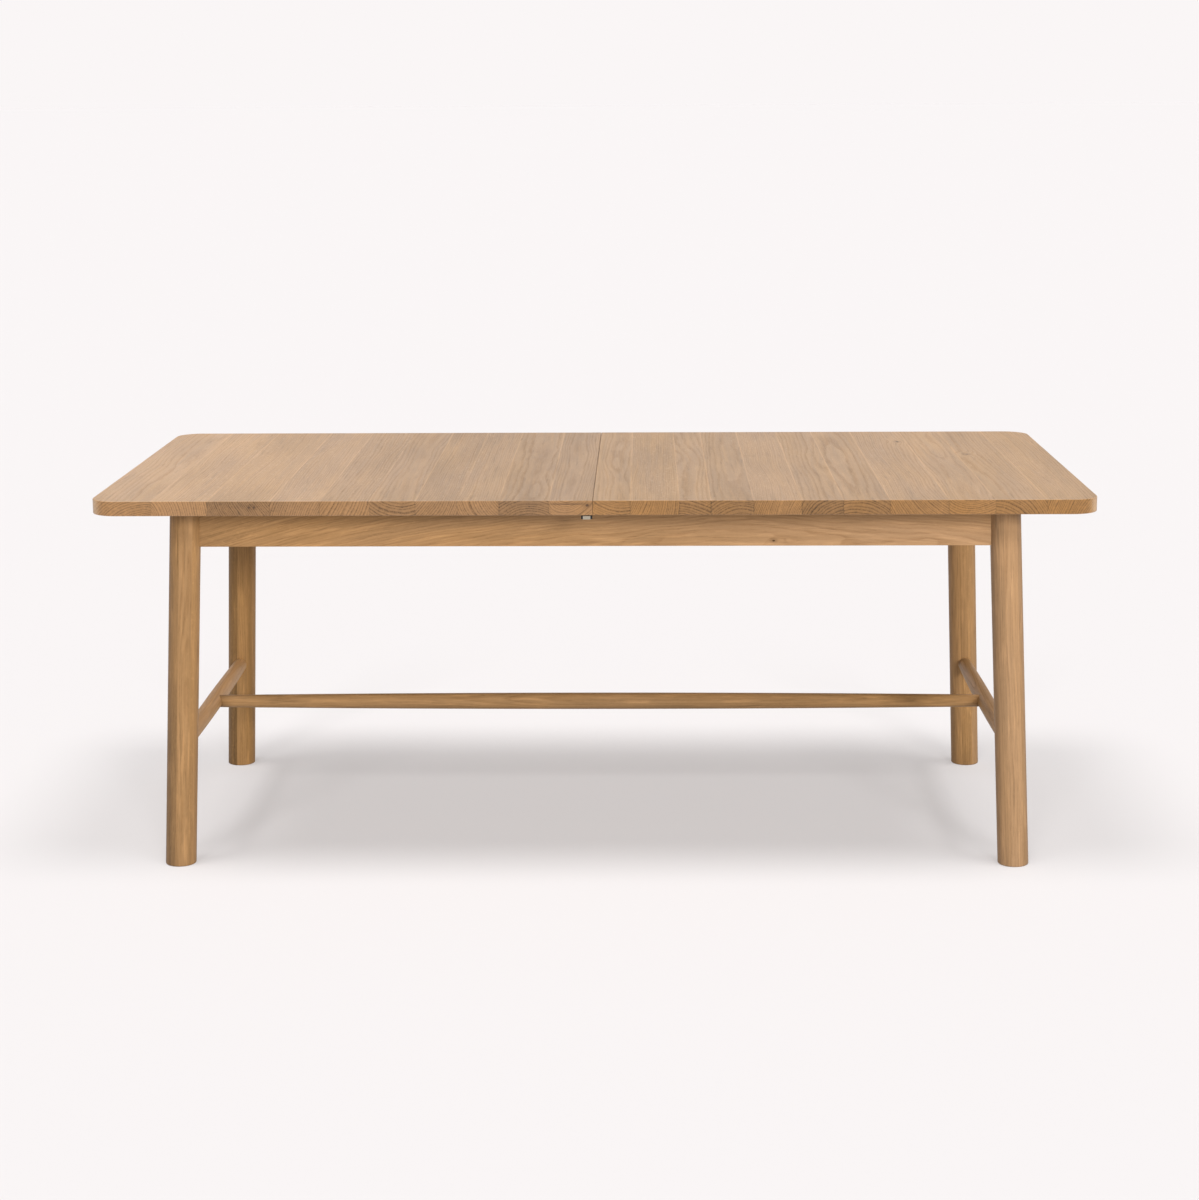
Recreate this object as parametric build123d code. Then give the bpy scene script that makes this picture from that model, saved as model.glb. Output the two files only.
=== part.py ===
from build123d import *
import math
import os

# Extendable dining table in solid oak. Four splayed round legs carry an apron frame and an H of
# turned stretchers. The top is two halves that slide apart on wooden runners, and a loose leaf,
# stored face down inside the frame, fills the gap. Thumb catches under the seam lock the halves.
#
# Millimetres, +Z up. The origin is on the floor under the middle of the closed top. +X is along
# the table's length and -Y is its front. "side_x" and "side_y" are -1 or +1 for left or right
# and front or rear.

# ---------------------------------------------------------------- driving dimensions
TABLE_LENGTH = 1900.0
TABLE_WIDTH = 950.0
TABLE_HEIGHT = 740.0
TOP_THICKNESS = 28.0
CORNER_RADIUS = 50.0
EDGE_EASING = 1.5
SEAM_GAP = 0.6
LEAF_WIDTH = 500.0

LEG_DIAMETER = 60.0
LEG_SPLAY = 0.0434            # outward travel for each unit of height, along X and along Y
LEG_TOP_X = 790.0             # leg axis where it would meet the underside of the top
LEG_TOP_Y = 342.0
FOOT_ROUNDING = 2.5

FRAME_DROP = 2.0              # frame top below the underside of the top
APRON_HEIGHT = 79.0
APRON_THICKNESS = 22.0
APRON_EASING = 1.5
TENON_THICKNESS = 8.0
TENON_SHOULDER = 10.0
TENON_END_FROM_AXIS = 14.0

STRETCHER_HEIGHT = 236.0
STRETCHER_MID_DIAMETER = 34.5
SIDE_STRETCHER_END_DIAMETER = 28.0
LONG_STRETCHER_END_DIAMETER = 25.5
SIDE_TENON_DIAMETER = 18.0
LONG_TENON_DIAMETER = 16.0
LONG_TENON_LENGTH = 12.0

TENON_ROOT = 2.0              # how far a tenon starts inside its own piece
OVERSHOOT = 60.0              # how far a cutting shape runs past what it cuts
TOUCH = 0.01                  # places closer than this count as the same
GLUE_LINE = 0.05              # gap between glued or pressed round surfaces
RUNNING_GAP = 0.4             # gap round a sliding tongue
SOCKET_GAP = 0.3              # gap round a dowel that enters another panel
PIVOT_GAP = 0.05              # gap round a turning rivet

GLIDE_WIDTH = 10.0
GLIDE_HEIGHT = 1.7
GLIDE_SETBACK = 60.0          # glide strip end from the leg axis
STOP_PAD_DIAMETER = 20.0
STOP_PAD_THICKNESS = 12.0
STOP_GAP = 0.5

RAIL_HEIGHT = 18.0
RAIL_WIDTH = 22.0
RAIL_HALF_LENGTH = 756.0
RAIL_TOP_DROP = 2.0           # rail top below the frame top
GROOVE_HEIGHT = 8.0
GROOVE_DEPTH = 8.0
RUNNER_WIDTH = 23.5
RUNNER_HEIGHT = 28.0
RUNNER_INNER_END = 20.0
RUNNER_RAIL_GAP = 0.5

BEARER_X = 230.0
BEARER_WIDTH = 60.0
BEARER_THICKNESS = 18.0
BEARER_LIFT = 1.0             # bearer underside above the apron underside
HOUSING_DEPTH = 8.0
FELT_THICKNESS = 1.5
FELT_WIDTH = 40.0
LEAF_LIFT = 0.2               # stored leaf above the felt
GUIDE_HEIGHT = 8.0
GUIDE_WIDTH = 20.0
GUIDE_LENGTH = 50.0
GUIDE_GAP = 2.0

BLOCK_BOTTOM_LIFT = 2.0
BLOCK_HEIGHT = 46.0
BLOCK_LEG_GAP = 2.0
BLOCK_THICKNESS = 25.0
BOLT_DIAMETER = 8.0
BOLT_START_FROM_AXIS = 5.0
BOLT_TAIL = 3.0
BOLT_HOLE_DIAMETER = 8.5
BOLT_FROM_BLOCK_EDGE = 11.0
NUT_ACROSS_FLATS = 13.0
NUT_HEIGHT = 6.5
WASHER_DIAMETER = 16.0
WASHER_BORE = 8.4
WASHER_THICKNESS = 1.6

DOWEL_DIAMETER = 10.0
DOWEL_SEATED = 22.0
DOWEL_PROUD = 14.0
DOWEL_TIP = 1.5
SOCKET_DEPTH = 16.0
DOWEL_SPACING = 240.0
DOWEL_COUNT = 4

CATCH_Y = 438.0               # catch pivot from the table's centre line
CATCH_SETBACK = 11.0          # catch pivot from the seam
PLATE_THICKNESS = 2.0
PLATE_WIDTH = 19.0
PLATE_FRONT = 15.0            # plate from the pivot towards the table's edge
PLATE_REAR = 24.0
PLATE_SCREW_SPACING = 10.0
PLATE_SCREW_MARGIN = 5.0      # plate screws from the plate's inner end
LEVER_BOTTOM = 9.0            # lever underside below the panel's underside
ARM_THICKNESS = 3.5
ARM_WIDTH = 12.0
HUB_DIAMETER = 14.0
PLATE_RUNNING_GAP = 0.3
HEAD_INNER = 22.5
HEAD_OUTER = 30.0
HEAD_WIDTH = 14.0
HEAD_TOP_GAP = 0.5
GRIP_THICKNESS = 3.6
GRIP_HEIGHT = 5.7
GRIP_INSET = 0.2
PIVOT_DIAMETER = 5.0
PIVOT_HEAD_DIAMETER = 9.0
PIVOT_HEAD_HEIGHT = 1.5
PIVOT_DEPTH = 8.0
KEEPER_START = 4.0            # keeper plate from the seam
KEEPER_LENGTH = 26.0
KEEPER_WIDTH = 20.0
KEEPER_SCREW_MARGIN = 5.0     # outer keeper screw from the plate's end
RIB_START = 7.5
RIB_THICKNESS = 2.5
RIB_WIDTH = 8.0
RIB_ARM_GAP = 0.4

SMALL_SCREW = {"shank": 3.5, "head": 7.0, "length": 16.0}
RAIL_SCREW = {"shank": 3.5, "head": 7.0, "length": 28.0}
RUNNER_SCREW = {"shank": 5.0, "head": 10.0, "length": 45.0}
SCREW_RIM = 0.4
SCREW_TIP = 4.0
SCREW_SINK = 0.1
RECESS_REACH = 0.62           # cross recess length, width and depth as shares of the head
RECESS_WIDTH = 0.14
RECESS_DEPTH = 0.28
RAIL_SCREW_COUNT = 6
RUNNER_SCREW_COUNT = 4
RUNNER_SCREW_MARGIN = 45.0

# ---------------------------------------------------------------- worked-out positions
HALF_LENGTH = TABLE_LENGTH / 2
HALF_WIDTH = TABLE_WIDTH / 2
HALF_TRAVEL = LEAF_WIDTH / 2
UNDERSIDE = TABLE_HEIGHT - TOP_THICKNESS
FRAME_TOP = UNDERSIDE - FRAME_DROP
APRON_BOTTOM = FRAME_TOP - APRON_HEIGHT
APRON_MIDDLE = (FRAME_TOP + APRON_BOTTOM) / 2
APRON_INNER_Y = LEG_TOP_Y - APRON_THICKNESS / 2
APRON_OUTER_Y = LEG_TOP_Y + APRON_THICKNESS / 2
APRON_INNER_X = LEG_TOP_X - APRON_THICKNESS / 2
APRON_OUTER_X = LEG_TOP_X + APRON_THICKNESS / 2
LEG_RADIUS = LEG_DIAMETER / 2
TENON_BOTTOM = APRON_BOTTOM + TENON_SHOULDER
TENON_TOP = FRAME_TOP - TENON_SHOULDER

RAIL_TOP = FRAME_TOP - RAIL_TOP_DROP
RAIL_BOTTOM = RAIL_TOP - RAIL_HEIGHT
RAIL_INNER_Y = APRON_INNER_Y - RAIL_WIDTH
GROOVE_FLOOR_Y = RAIL_INNER_Y + GROOVE_DEPTH
GROOVE_MIDDLE = (RAIL_TOP + RAIL_BOTTOM) / 2
RUNNER_OUTER_Y = RAIL_INNER_Y - RUNNER_RAIL_GAP
RUNNER_INNER_Y = RUNNER_OUTER_Y - RUNNER_WIDTH
RUNNER_MIDDLE_Y = (RUNNER_OUTER_Y + RUNNER_INNER_Y) / 2
RUNNER_BOTTOM = UNDERSIDE - RUNNER_HEIGHT
RUNNER_OUTER_END = APRON_INNER_X - STOP_PAD_THICKNESS - STOP_GAP - HALF_TRAVEL

BEARER_BOTTOM = APRON_BOTTOM + BEARER_LIFT
BEARER_TOP = BEARER_BOTTOM + BEARER_THICKNESS
LEAF_SHOW_FACE = BEARER_TOP + FELT_THICKNESS + LEAF_LIFT
LEAF_BACK_FACE = LEAF_SHOW_FACE + TOP_THICKNESS
PANEL_MIDDLE = UNDERSIDE + TOP_THICKNESS / 2
DOWEL_PLACES = [(place - (DOWEL_COUNT - 1) / 2) * DOWEL_SPACING for place in range(DOWEL_COUNT)]

BLOCK_BOTTOM = APRON_BOTTOM + BLOCK_BOTTOM_LIFT
BLOCK_TOP = BLOCK_BOTTOM + BLOCK_HEIGHT
BLOCK_NEAR = LEG_RADIUS + BLOCK_LEG_GAP
BLOCK_FAR = BLOCK_NEAR + BLOCK_THICKNESS
BOLT_HEIGHTS = (BLOCK_BOTTOM + BOLT_FROM_BLOCK_EDGE, BLOCK_TOP - BOLT_FROM_BLOCK_EDGE)

PLATE_BOTTOM = UNDERSIDE - PLATE_THICKNESS
ARM_BOTTOM = UNDERSIDE - LEVER_BOTTOM
ARM_TOP = ARM_BOTTOM + ARM_THICKNESS
HEAD_TOP = PLATE_BOTTOM - HEAD_TOP_GAP

LEFT = -1
RIGHT = 1
FRONT = -1
REAR = 1
SIDE_NAMES = {LEFT: "left", RIGHT: "right"}
DEPTH_NAMES = {FRONT: "front", REAR: "rear"}
CORNERS = [(side_x, side_y) for side_x in (LEFT, RIGHT) for side_y in (FRONT, REAR)]

# The loose leaf is drawn in its working place, in the middle of the opened top, and then moved
# to storage: turned face down, with its long side along the table's length.
STORED = Plane(
    origin=(0, 0, UNDERSIDE + LEAF_BACK_FACE),
    x_dir=(0, 1, 0),
    z_dir=(0, 0, -1),
).location


# ---------------------------------------------------------------- shared shapes
def block(x_one, x_two, y_one, y_two, z_one, z_two):
    """A box between two corners, given in any order along each axis."""
    size = (abs(x_two - x_one), abs(y_two - y_one), abs(z_two - z_one))
    middle = ((x_one + x_two) / 2, (y_one + y_two) / 2, (z_one + z_two) / 2)
    return Pos(*middle) * Box(*size)


def rod(start, end, radius):
    """A round bar from one point to another."""
    along = Vector(*end) - Vector(*start)
    return Solid.make_cylinder(radius, along.length, Plane(origin=start, z_dir=along))


def turned(seat, into, outline):
    """A solid of revolution. The outline is (radius, depth) points, depth along 'into'."""
    points = [(radius, 0, depth) for radius, depth in outline]
    section = make_face(Polyline(*points, close=True))
    solid = revolve(section, Axis.Z)
    return Plane(origin=seat, z_dir=into).location * solid


def screw_body(seat, into, size, gap=0.0):
    """A countersunk screw without its recess. With a gap, it is the hole for that screw."""
    shank = size["shank"] / 2
    head = size["head"] / 2
    neck = head - shank + SCREW_RIM
    outline = [
        (0, -gap),
        (head + gap, -gap),
        (head + gap, SCREW_RIM),
        (shank + gap, neck),
        (shank + gap, size["length"] - SCREW_TIP),
        (0, size["length"] + gap),
    ]
    return turned(seat, into, outline)


def screw(seat, into, size):
    """A countersunk screw with a cross recess."""
    reach = size["head"] * RECESS_REACH
    slot = size["head"] * RECESS_WIDTH
    depth = size["head"] * RECESS_DEPTH
    recess = Box(reach, slot, 2 * depth) + Box(slot, reach, 2 * depth)
    return screw_body(seat, into, size) - Plane(origin=seat, z_dir=into).location * recess


def sunk(seat, into):
    """A screw seat moved slightly into the surface, so that the head lies just under it."""
    return tuple(Vector(*seat) + Vector(*into) * SCREW_SINK)


def ease(solid, radius, chosen):
    """Rounds the edges of a solid that the test 'chosen' accepts."""
    return fillet([edge for edge in solid.edges() if chosen(edge)], radius)


def leg_axis_at(height):
    """Distance of a leg's axis from the table's middle, along X and along Y, at a height."""
    spread = LEG_SPLAY * (UNDERSIDE - height)
    return LEG_TOP_X + spread, LEG_TOP_Y + spread


def leg_rod(side_x, side_y, radius):
    """A round bar on a leg's axis, from above the top to below the floor."""
    ends = []
    for height in (-OVERSHOOT, TABLE_HEIGHT):
        axis_x, axis_y = leg_axis_at(height)
        ends.append((side_x * axis_x, side_y * axis_y, height))
    return rod(ends[0], ends[1], radius)


# ---------------------------------------------------------------- legs and aprons
def long_tenon(side_x, side_y):
    """The stub tenon of a long apron, in the leg at one corner."""
    axis_x = leg_axis_at(APRON_MIDDLE)[0]
    half = TENON_THICKNESS / 2
    return block(
        side_x * (axis_x - LEG_RADIUS - TENON_ROOT),
        side_x * (axis_x - TENON_END_FROM_AXIS),
        side_y * (LEG_TOP_Y - half),
        side_y * (LEG_TOP_Y + half),
        TENON_BOTTOM,
        TENON_TOP,
    )


def end_tenon(side_x, side_y):
    """The stub tenon of an end apron, in the leg at one corner."""
    axis_y = leg_axis_at(APRON_MIDDLE)[1]
    half = TENON_THICKNESS / 2
    return block(
        side_x * (LEG_TOP_X - half),
        side_x * (LEG_TOP_X + half),
        side_y * (axis_y - LEG_RADIUS - TENON_ROOT),
        side_y * (axis_y - TENON_END_FROM_AXIS),
        TENON_BOTTOM,
        TENON_TOP,
    )


def side_stretcher_tenon(side_x, side_y, gap=0.0):
    """The round tenon of a side stretcher, ending on the leg's axis."""
    axis_x, axis_y = leg_axis_at(STRETCHER_HEIGHT)
    start = (side_x * axis_x, side_y * (axis_y - LEG_RADIUS - TENON_ROOT), STRETCHER_HEIGHT)
    end = (side_x * axis_x, side_y * (axis_y + gap), STRETCHER_HEIGHT)
    return rod(start, end, SIDE_TENON_DIAMETER / 2 + gap)


def bolt_point(side_x, side_y, height, distance):
    """A point on a hanger bolt's line, this far from the leg's axis towards the table's middle."""
    axis_x, axis_y = leg_axis_at(height)
    step = distance / math.sqrt(2)
    return (side_x * (axis_x - step), side_y * (axis_y - step), height)


def bolt_rod(side_x, side_y, height, near, far, radius):
    """A round bar on a hanger bolt's line, between two distances from the leg's axis."""
    near_end = bolt_point(side_x, side_y, height, near)
    far_end = bolt_point(side_x, side_y, height, far)
    return rod(near_end, far_end, radius)


def make_leg(side_x, side_y):
    """A round splayed leg, cut level at both ends, with its mortises, socket and bolt holes."""
    between = block(-HALF_LENGTH, HALF_LENGTH, -HALF_WIDTH, HALF_WIDTH, 0, FRAME_TOP)
    leg = between & leg_rod(side_x, side_y, LEG_RADIUS)
    foot_edge = leg.edges().sort_by(Axis.Z)[0]
    leg = fillet(foot_edge, FOOT_ROUNDING)
    leg -= long_tenon(side_x, side_y)
    leg -= end_tenon(side_x, side_y)
    leg -= side_stretcher_tenon(side_x, side_y, GLUE_LINE)
    for height in BOLT_HEIGHTS:
        near = BOLT_START_FROM_AXIS - GLUE_LINE
        leg -= bolt_rod(side_x, side_y, height, near, OVERSHOOT, BOLT_DIAMETER / 2 + GLUE_LINE)
    return leg


def is_apron_arris(edge):
    """True for a long edge along the bottom of an apron."""
    low = abs(edge.center().Z - APRON_BOTTOM) < TOUCH
    return low and edge.length > 2 * APRON_THICKNESS


def rail_screw_seats(side_y):
    """Seats of the screws that hold a guide rail, on the floor of its groove."""
    spread = RAIL_HALF_LENGTH - RUNNER_SCREW_MARGIN
    step = 2 * spread / (RAIL_SCREW_COUNT - 1)
    places = [-spread + step * count for count in range(RAIL_SCREW_COUNT)]
    return [sunk((x, side_y * GROOVE_FLOOR_Y, GROOVE_MIDDLE), (0, side_y, 0)) for x in places]


def make_bearer(side_x):
    """A flat bearer under the stored leaf, with its ends housed in the long aprons."""
    reach = APRON_INNER_Y + HOUSING_DEPTH
    inner = side_x * (BEARER_X - BEARER_WIDTH / 2)
    outer = side_x * (BEARER_X + BEARER_WIDTH / 2)
    return block(inner, outer, -reach, reach, BEARER_BOTTOM, BEARER_TOP)


def make_long_apron(side_y):
    """A front or rear apron: coped to the round legs, tenoned, and housed for the bearers."""
    end = LEG_TOP_X
    outer = side_y * APRON_OUTER_Y
    inner = side_y * APRON_INNER_Y
    apron = block(-end, end, inner, outer, APRON_BOTTOM, FRAME_TOP)
    apron = ease(apron, APRON_EASING, is_apron_arris)
    for side_x in (LEFT, RIGHT):
        apron -= leg_rod(side_x, side_y, LEG_RADIUS + GLUE_LINE)
        apron += long_tenon(side_x, side_y)
        apron -= make_bearer(side_x)
    for seat in rail_screw_seats(side_y):
        apron -= screw_body(seat, (0, side_y, 0), RAIL_SCREW, GLUE_LINE)
    return apron


def make_end_apron(side_x):
    """A left or right apron: coped to the round legs and tenoned."""
    end = LEG_TOP_Y
    outer = side_x * APRON_OUTER_X
    inner = side_x * APRON_INNER_X
    apron = block(inner, outer, -end, end, APRON_BOTTOM, FRAME_TOP)
    apron = ease(apron, APRON_EASING, is_apron_arris)
    for side_y in (FRONT, REAR):
        apron -= leg_rod(side_x, side_y, LEG_RADIUS + GLUE_LINE)
        apron += end_tenon(side_x, side_y)
    return apron


# ---------------------------------------------------------------- stretchers
def turned_rail(half_length, end_diameter):
    """A turned rail along X: thickest in the middle, easing down to its ends on one long arc."""
    middle_radius = STRETCHER_MID_DIAMETER / 2
    end_radius = end_diameter / 2
    crown = ThreePointArc((-half_length, end_radius), (0, middle_radius), (half_length, end_radius))
    base = Polyline(
        (half_length, end_radius), (half_length, 0), (-half_length, 0), (-half_length, end_radius)
    )
    return revolve(make_face(Curve() + [crown, base]), Axis.X)


def long_stretcher_tenon(side_x, gap=0.0):
    """The round tenon at one end of the long stretcher, in the middle of a side stretcher."""
    surface = leg_axis_at(STRETCHER_HEIGHT)[0] - STRETCHER_MID_DIAMETER / 2
    start = (side_x * (surface - TENON_ROOT), 0, STRETCHER_HEIGHT)
    end = (side_x * (surface + LONG_TENON_LENGTH + gap), 0, STRETCHER_HEIGHT)
    return rod(start, end, LONG_TENON_DIAMETER / 2 + gap)


def make_side_stretcher(side_x):
    """A stretcher from a front leg to a rear leg, with a socket for the long stretcher."""
    axis_x, axis_y = leg_axis_at(STRETCHER_HEIGHT)
    turned_bar = turned_rail(axis_y, SIDE_STRETCHER_END_DIAMETER)
    bar = Pos(side_x * axis_x, 0, STRETCHER_HEIGHT) * Rot(0, 0, 90) * turned_bar
    for side_y in (FRONT, REAR):
        bar -= leg_rod(side_x, side_y, LEG_RADIUS + GLUE_LINE)
        bar += side_stretcher_tenon(side_x, side_y)
    return bar - long_stretcher_tenon(side_x, GLUE_LINE)


def make_long_stretcher():
    """The stretcher along the table's length, joining the two side stretchers."""
    axis_x = leg_axis_at(STRETCHER_HEIGHT)[0]
    bar = Pos(0, 0, STRETCHER_HEIGHT) * turned_rail(axis_x, LONG_STRETCHER_END_DIAMETER)
    for side_x in (LEFT, RIGHT):
        ends = [(side_x * axis_x, y, STRETCHER_HEIGHT) for y in (-OVERSHOOT, OVERSHOOT)]
        bar -= rod(ends[0], ends[1], STRETCHER_MID_DIAMETER / 2 + GLUE_LINE)
        bar += long_stretcher_tenon(side_x)
    return bar


# ---------------------------------------------------------------- corner blocks and bolts
def make_corner_block(side_x, side_y):
    """A mitred brace across a corner of the frame, drilled for two hanger bolts."""
    axis_x, axis_y = leg_axis_at(APRON_MIDDLE)
    corners = []
    for distance in (BLOCK_NEAR, BLOCK_FAR):
        reach = distance * math.sqrt(2)
        on_long = (axis_x - (reach - (axis_y - APRON_INNER_Y)), APRON_INNER_Y)
        on_end = (APRON_INNER_X, axis_y - (reach - (axis_x - APRON_INNER_X)))
        corners.append((on_long, on_end))
    near, far = corners
    outline = [near[0], far[0], far[1], near[1]]
    points = [(side_x * x, side_y * y, BLOCK_BOTTOM) for x, y in outline]
    solid = extrude(make_face(Polyline(*points, close=True)), BLOCK_HEIGHT, dir=(0, 0, 1))
    for height in BOLT_HEIGHTS:
        solid -= bolt_rod(side_x, side_y, height, LEG_RADIUS, LEG_RADIUS + OVERSHOOT, BOLT_HOLE_DIAMETER / 2)
    return solid


def make_hanger_bolts():
    """Threaded rods from the legs through the corner blocks, threads left plain."""
    end = BLOCK_FAR + WASHER_THICKNESS + NUT_HEIGHT + BOLT_TAIL
    radius = BOLT_DIAMETER / 2
    return [
        bolt_rod(side_x, side_y, height, BOLT_START_FROM_AXIS, end, radius)
        for side_x, side_y in CORNERS
        for height in BOLT_HEIGHTS
    ]


def block_face_offset(height):
    """Extra distance from the leg's axis to a corner block's face, because the leg is splayed."""
    return math.sqrt(2) * (leg_axis_at(height)[0] - leg_axis_at(APRON_MIDDLE)[0])


def make_bolt_washers():
    """Flat washers on the corner blocks."""
    washers = []
    for side_x, side_y in CORNERS:
        for height in BOLT_HEIGHTS:
            near = BLOCK_FAR + block_face_offset(height)
            far = near + WASHER_THICKNESS
            disc = bolt_rod(side_x, side_y, height, near, far, WASHER_DIAMETER / 2)
            hole = bolt_rod(side_x, side_y, height, near - 1, far + 1, WASHER_BORE / 2)
            washers.append(disc - hole)
    return washers


def make_bolt_nuts():
    """Hexagon nuts on the washers."""
    nuts = []
    for side_x, side_y in CORNERS:
        inward = Vector(-side_x, -side_y, 0)
        for height in BOLT_HEIGHTS:
            near = BLOCK_FAR + block_face_offset(height) + WASHER_THICKNESS
            seat = bolt_point(side_x, side_y, height, near)
            outline = RegularPolygon(NUT_ACROSS_FLATS / 2, 6, major_radius=False)
            nut = extrude(Plane(origin=seat, z_dir=inward) * outline, NUT_HEIGHT)
            bore = BOLT_DIAMETER / 2 + GLUE_LINE
            nuts.append(nut - bolt_rod(side_x, side_y, height, near - 1, near + OVERSHOOT, bore))
    return nuts


# ---------------------------------------------------------------- slides, bearers and pads
def make_guide_rail(side_y):
    """A grooved hardwood rail on the inner face of a long apron."""
    inner = side_y * RAIL_INNER_Y
    outer = side_y * APRON_INNER_Y
    floor = side_y * GROOVE_FLOOR_Y
    low = GROOVE_MIDDLE - GROOVE_HEIGHT / 2
    high = GROOVE_MIDDLE + GROOVE_HEIGHT / 2
    rail = block(-RAIL_HALF_LENGTH, RAIL_HALF_LENGTH, inner, outer, RAIL_BOTTOM, RAIL_TOP)
    rail -= block(-HALF_LENGTH, HALF_LENGTH, inner, floor, low, high)
    for seat in rail_screw_seats(side_y):
        rail -= screw_body(seat, (0, side_y, 0), RAIL_SCREW, GLUE_LINE)
    return rail


def make_rail_screws():
    """Screws through both guide rails into the long aprons."""
    return [
        screw(seat, (0, side_y, 0), RAIL_SCREW)
        for side_y in (FRONT, REAR)
        for seat in rail_screw_seats(side_y)
    ]


def runner_screw_seats(side_x, side_y):
    """Seats of the screws that hold a runner, on its underside."""
    first = RUNNER_INNER_END + RUNNER_SCREW_MARGIN
    last = RUNNER_OUTER_END - RUNNER_SCREW_MARGIN
    step = (last - first) / (RUNNER_SCREW_COUNT - 1)
    places = [side_x * (first + step * count) for count in range(RUNNER_SCREW_COUNT)]
    return [sunk((x, side_y * RUNNER_MIDDLE_Y, RUNNER_BOTTOM), (0, 0, 1)) for x in places]


def make_runner(side_x, side_y):
    """A hardwood runner under a top half, with a tongue that slides in the guide rail."""
    inner_end = side_x * RUNNER_INNER_END
    outer_end = side_x * RUNNER_OUTER_END
    outer = side_y * RUNNER_OUTER_Y
    inner = side_y * RUNNER_INNER_Y
    tongue_end = side_y * (GROOVE_FLOOR_Y - RUNNING_GAP)
    reach = GROOVE_HEIGHT / 2 - RUNNING_GAP
    low = GROOVE_MIDDLE - reach
    high = GROOVE_MIDDLE + reach
    runner = block(inner_end, outer_end, inner, outer, RUNNER_BOTTOM, UNDERSIDE)
    runner += block(inner_end, outer_end, inner, tongue_end, low, high)
    for seat in runner_screw_seats(side_x, side_y):
        runner -= screw_body(seat, (0, 0, 1), RUNNER_SCREW, GLUE_LINE)
    return runner


def make_runner_screws(side_x):
    """Screws through both runners of a top half."""
    return [
        screw(seat, (0, 0, 1), RUNNER_SCREW)
        for side_y in (FRONT, REAR)
        for seat in runner_screw_seats(side_x, side_y)
    ]


def make_bearer_felts():
    """Felt strips on the bearers, as long as the leaf is wide."""
    reach = LEAF_WIDTH / 2
    half = FELT_WIDTH / 2
    top = BEARER_TOP + FELT_THICKNESS
    return [
        block(side_x * BEARER_X - half, side_x * BEARER_X + half, -reach, reach, BEARER_TOP, top)
        for side_x in (LEFT, RIGHT)
    ]


def make_leaf_guides():
    """Low blocks on the bearers that keep the stored leaf in line."""
    guides = []
    near = LEAF_WIDTH / 2 + GUIDE_GAP
    far = near + GUIDE_WIDTH
    half = GUIDE_LENGTH / 2
    top = BEARER_TOP + GUIDE_HEIGHT
    for side_x, side_y in CORNERS:
        middle = side_x * BEARER_X
        guide = block(middle - half, middle + half, side_y * near, side_y * far, BEARER_TOP, top)
        guides.append(guide)
    return guides


def make_glide_strips():
    """Slippery strips on the frame's top edges, just under the sliding halves."""
    half = GLIDE_WIDTH / 2
    top = FRAME_TOP + GLIDE_HEIGHT
    long_reach = LEG_TOP_X - GLIDE_SETBACK
    end_reach = LEG_TOP_Y - GLIDE_SETBACK
    strips = []
    for side in (-1, 1):
        middle_y = side * LEG_TOP_Y
        middle_x = side * LEG_TOP_X
        strips.append(
            block(-long_reach, long_reach, middle_y - half, middle_y + half, FRAME_TOP, top)
        )
        strips.append(block(middle_x - half, middle_x + half, -end_reach, end_reach, FRAME_TOP, top))
    return strips


def make_stop_pads():
    """Rubber stops on the end aprons, which the runners meet at full travel."""
    pads = []
    for side_x, side_y in CORNERS:
        start = (side_x * APRON_INNER_X, side_y * RUNNER_MIDDLE_Y, GROOVE_MIDDLE)
        end = (start[0] - side_x * STOP_PAD_THICKNESS, start[1], start[2])
        pads.append(rod(start, end, STOP_PAD_DIAMETER / 2))
    return pads


# ---------------------------------------------------------------- dowels
def dowel(edge_x, place):
    """A dowel standing out of a panel's edge towards +X, with a tapered tip."""
    radius = DOWEL_DIAMETER / 2
    outline = [
        (0, -DOWEL_SEATED),
        (radius, -DOWEL_SEATED),
        (radius, DOWEL_PROUD - DOWEL_TIP),
        (radius - DOWEL_TIP, DOWEL_PROUD),
        (0, DOWEL_PROUD),
    ]
    return turned((edge_x, place, PANEL_MIDDLE), (1, 0, 0), outline)


def dowel_hole(edge_x, place):
    """The glued hole of a dowel, drilled from a panel's edge towards -X."""
    start = (edge_x - DOWEL_SEATED - GLUE_LINE, place, PANEL_MIDDLE)
    end = (edge_x + DOWEL_TIP, place, PANEL_MIDDLE)
    return rod(start, end, DOWEL_DIAMETER / 2 + GLUE_LINE)


def dowel_socket(edge_x, place):
    """The loose socket for a dowel, drilled from a panel's edge towards +X."""
    start = (edge_x - DOWEL_TIP, place, PANEL_MIDDLE)
    end = (edge_x + SOCKET_DEPTH, place, PANEL_MIDDLE)
    return rod(start, end, DOWEL_DIAMETER / 2 + SOCKET_GAP)


# ---------------------------------------------------------------- catches
# Each catch is drawn for the edge of a panel at seam_x. Its pivot is inside that edge, and its
# lever is parked along Y, pointing at the table's near or far side. It turns to reach over the
# seam and hooks behind the rib of a keeper on the next panel.
def pivot_place(seam_x, side_y):
    """A catch pivot's X and Y."""
    return seam_x - CATCH_SETBACK, side_y * CATCH_Y


def catch_screw_seats(seam_x, side_y):
    """Seats of a catch plate's two screws."""
    x, y = pivot_place(seam_x, side_y)
    row = y - side_y * (PLATE_REAR - PLATE_SCREW_MARGIN)
    steps = (-PLATE_SCREW_SPACING / 2, PLATE_SCREW_SPACING / 2)
    return [sunk((x + step, row, PLATE_BOTTOM), (0, 0, 1)) for step in steps]


def keeper_screw_seats(seam_x, side_y):
    """Seats of a keeper's two screws."""
    first = seam_x + KEEPER_START + KEEPER_LENGTH / 2
    second = seam_x + KEEPER_START + KEEPER_LENGTH - KEEPER_SCREW_MARGIN
    return [sunk((x, side_y * CATCH_Y, PLATE_BOTTOM), (0, 0, 1)) for x in (first, second)]


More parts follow.
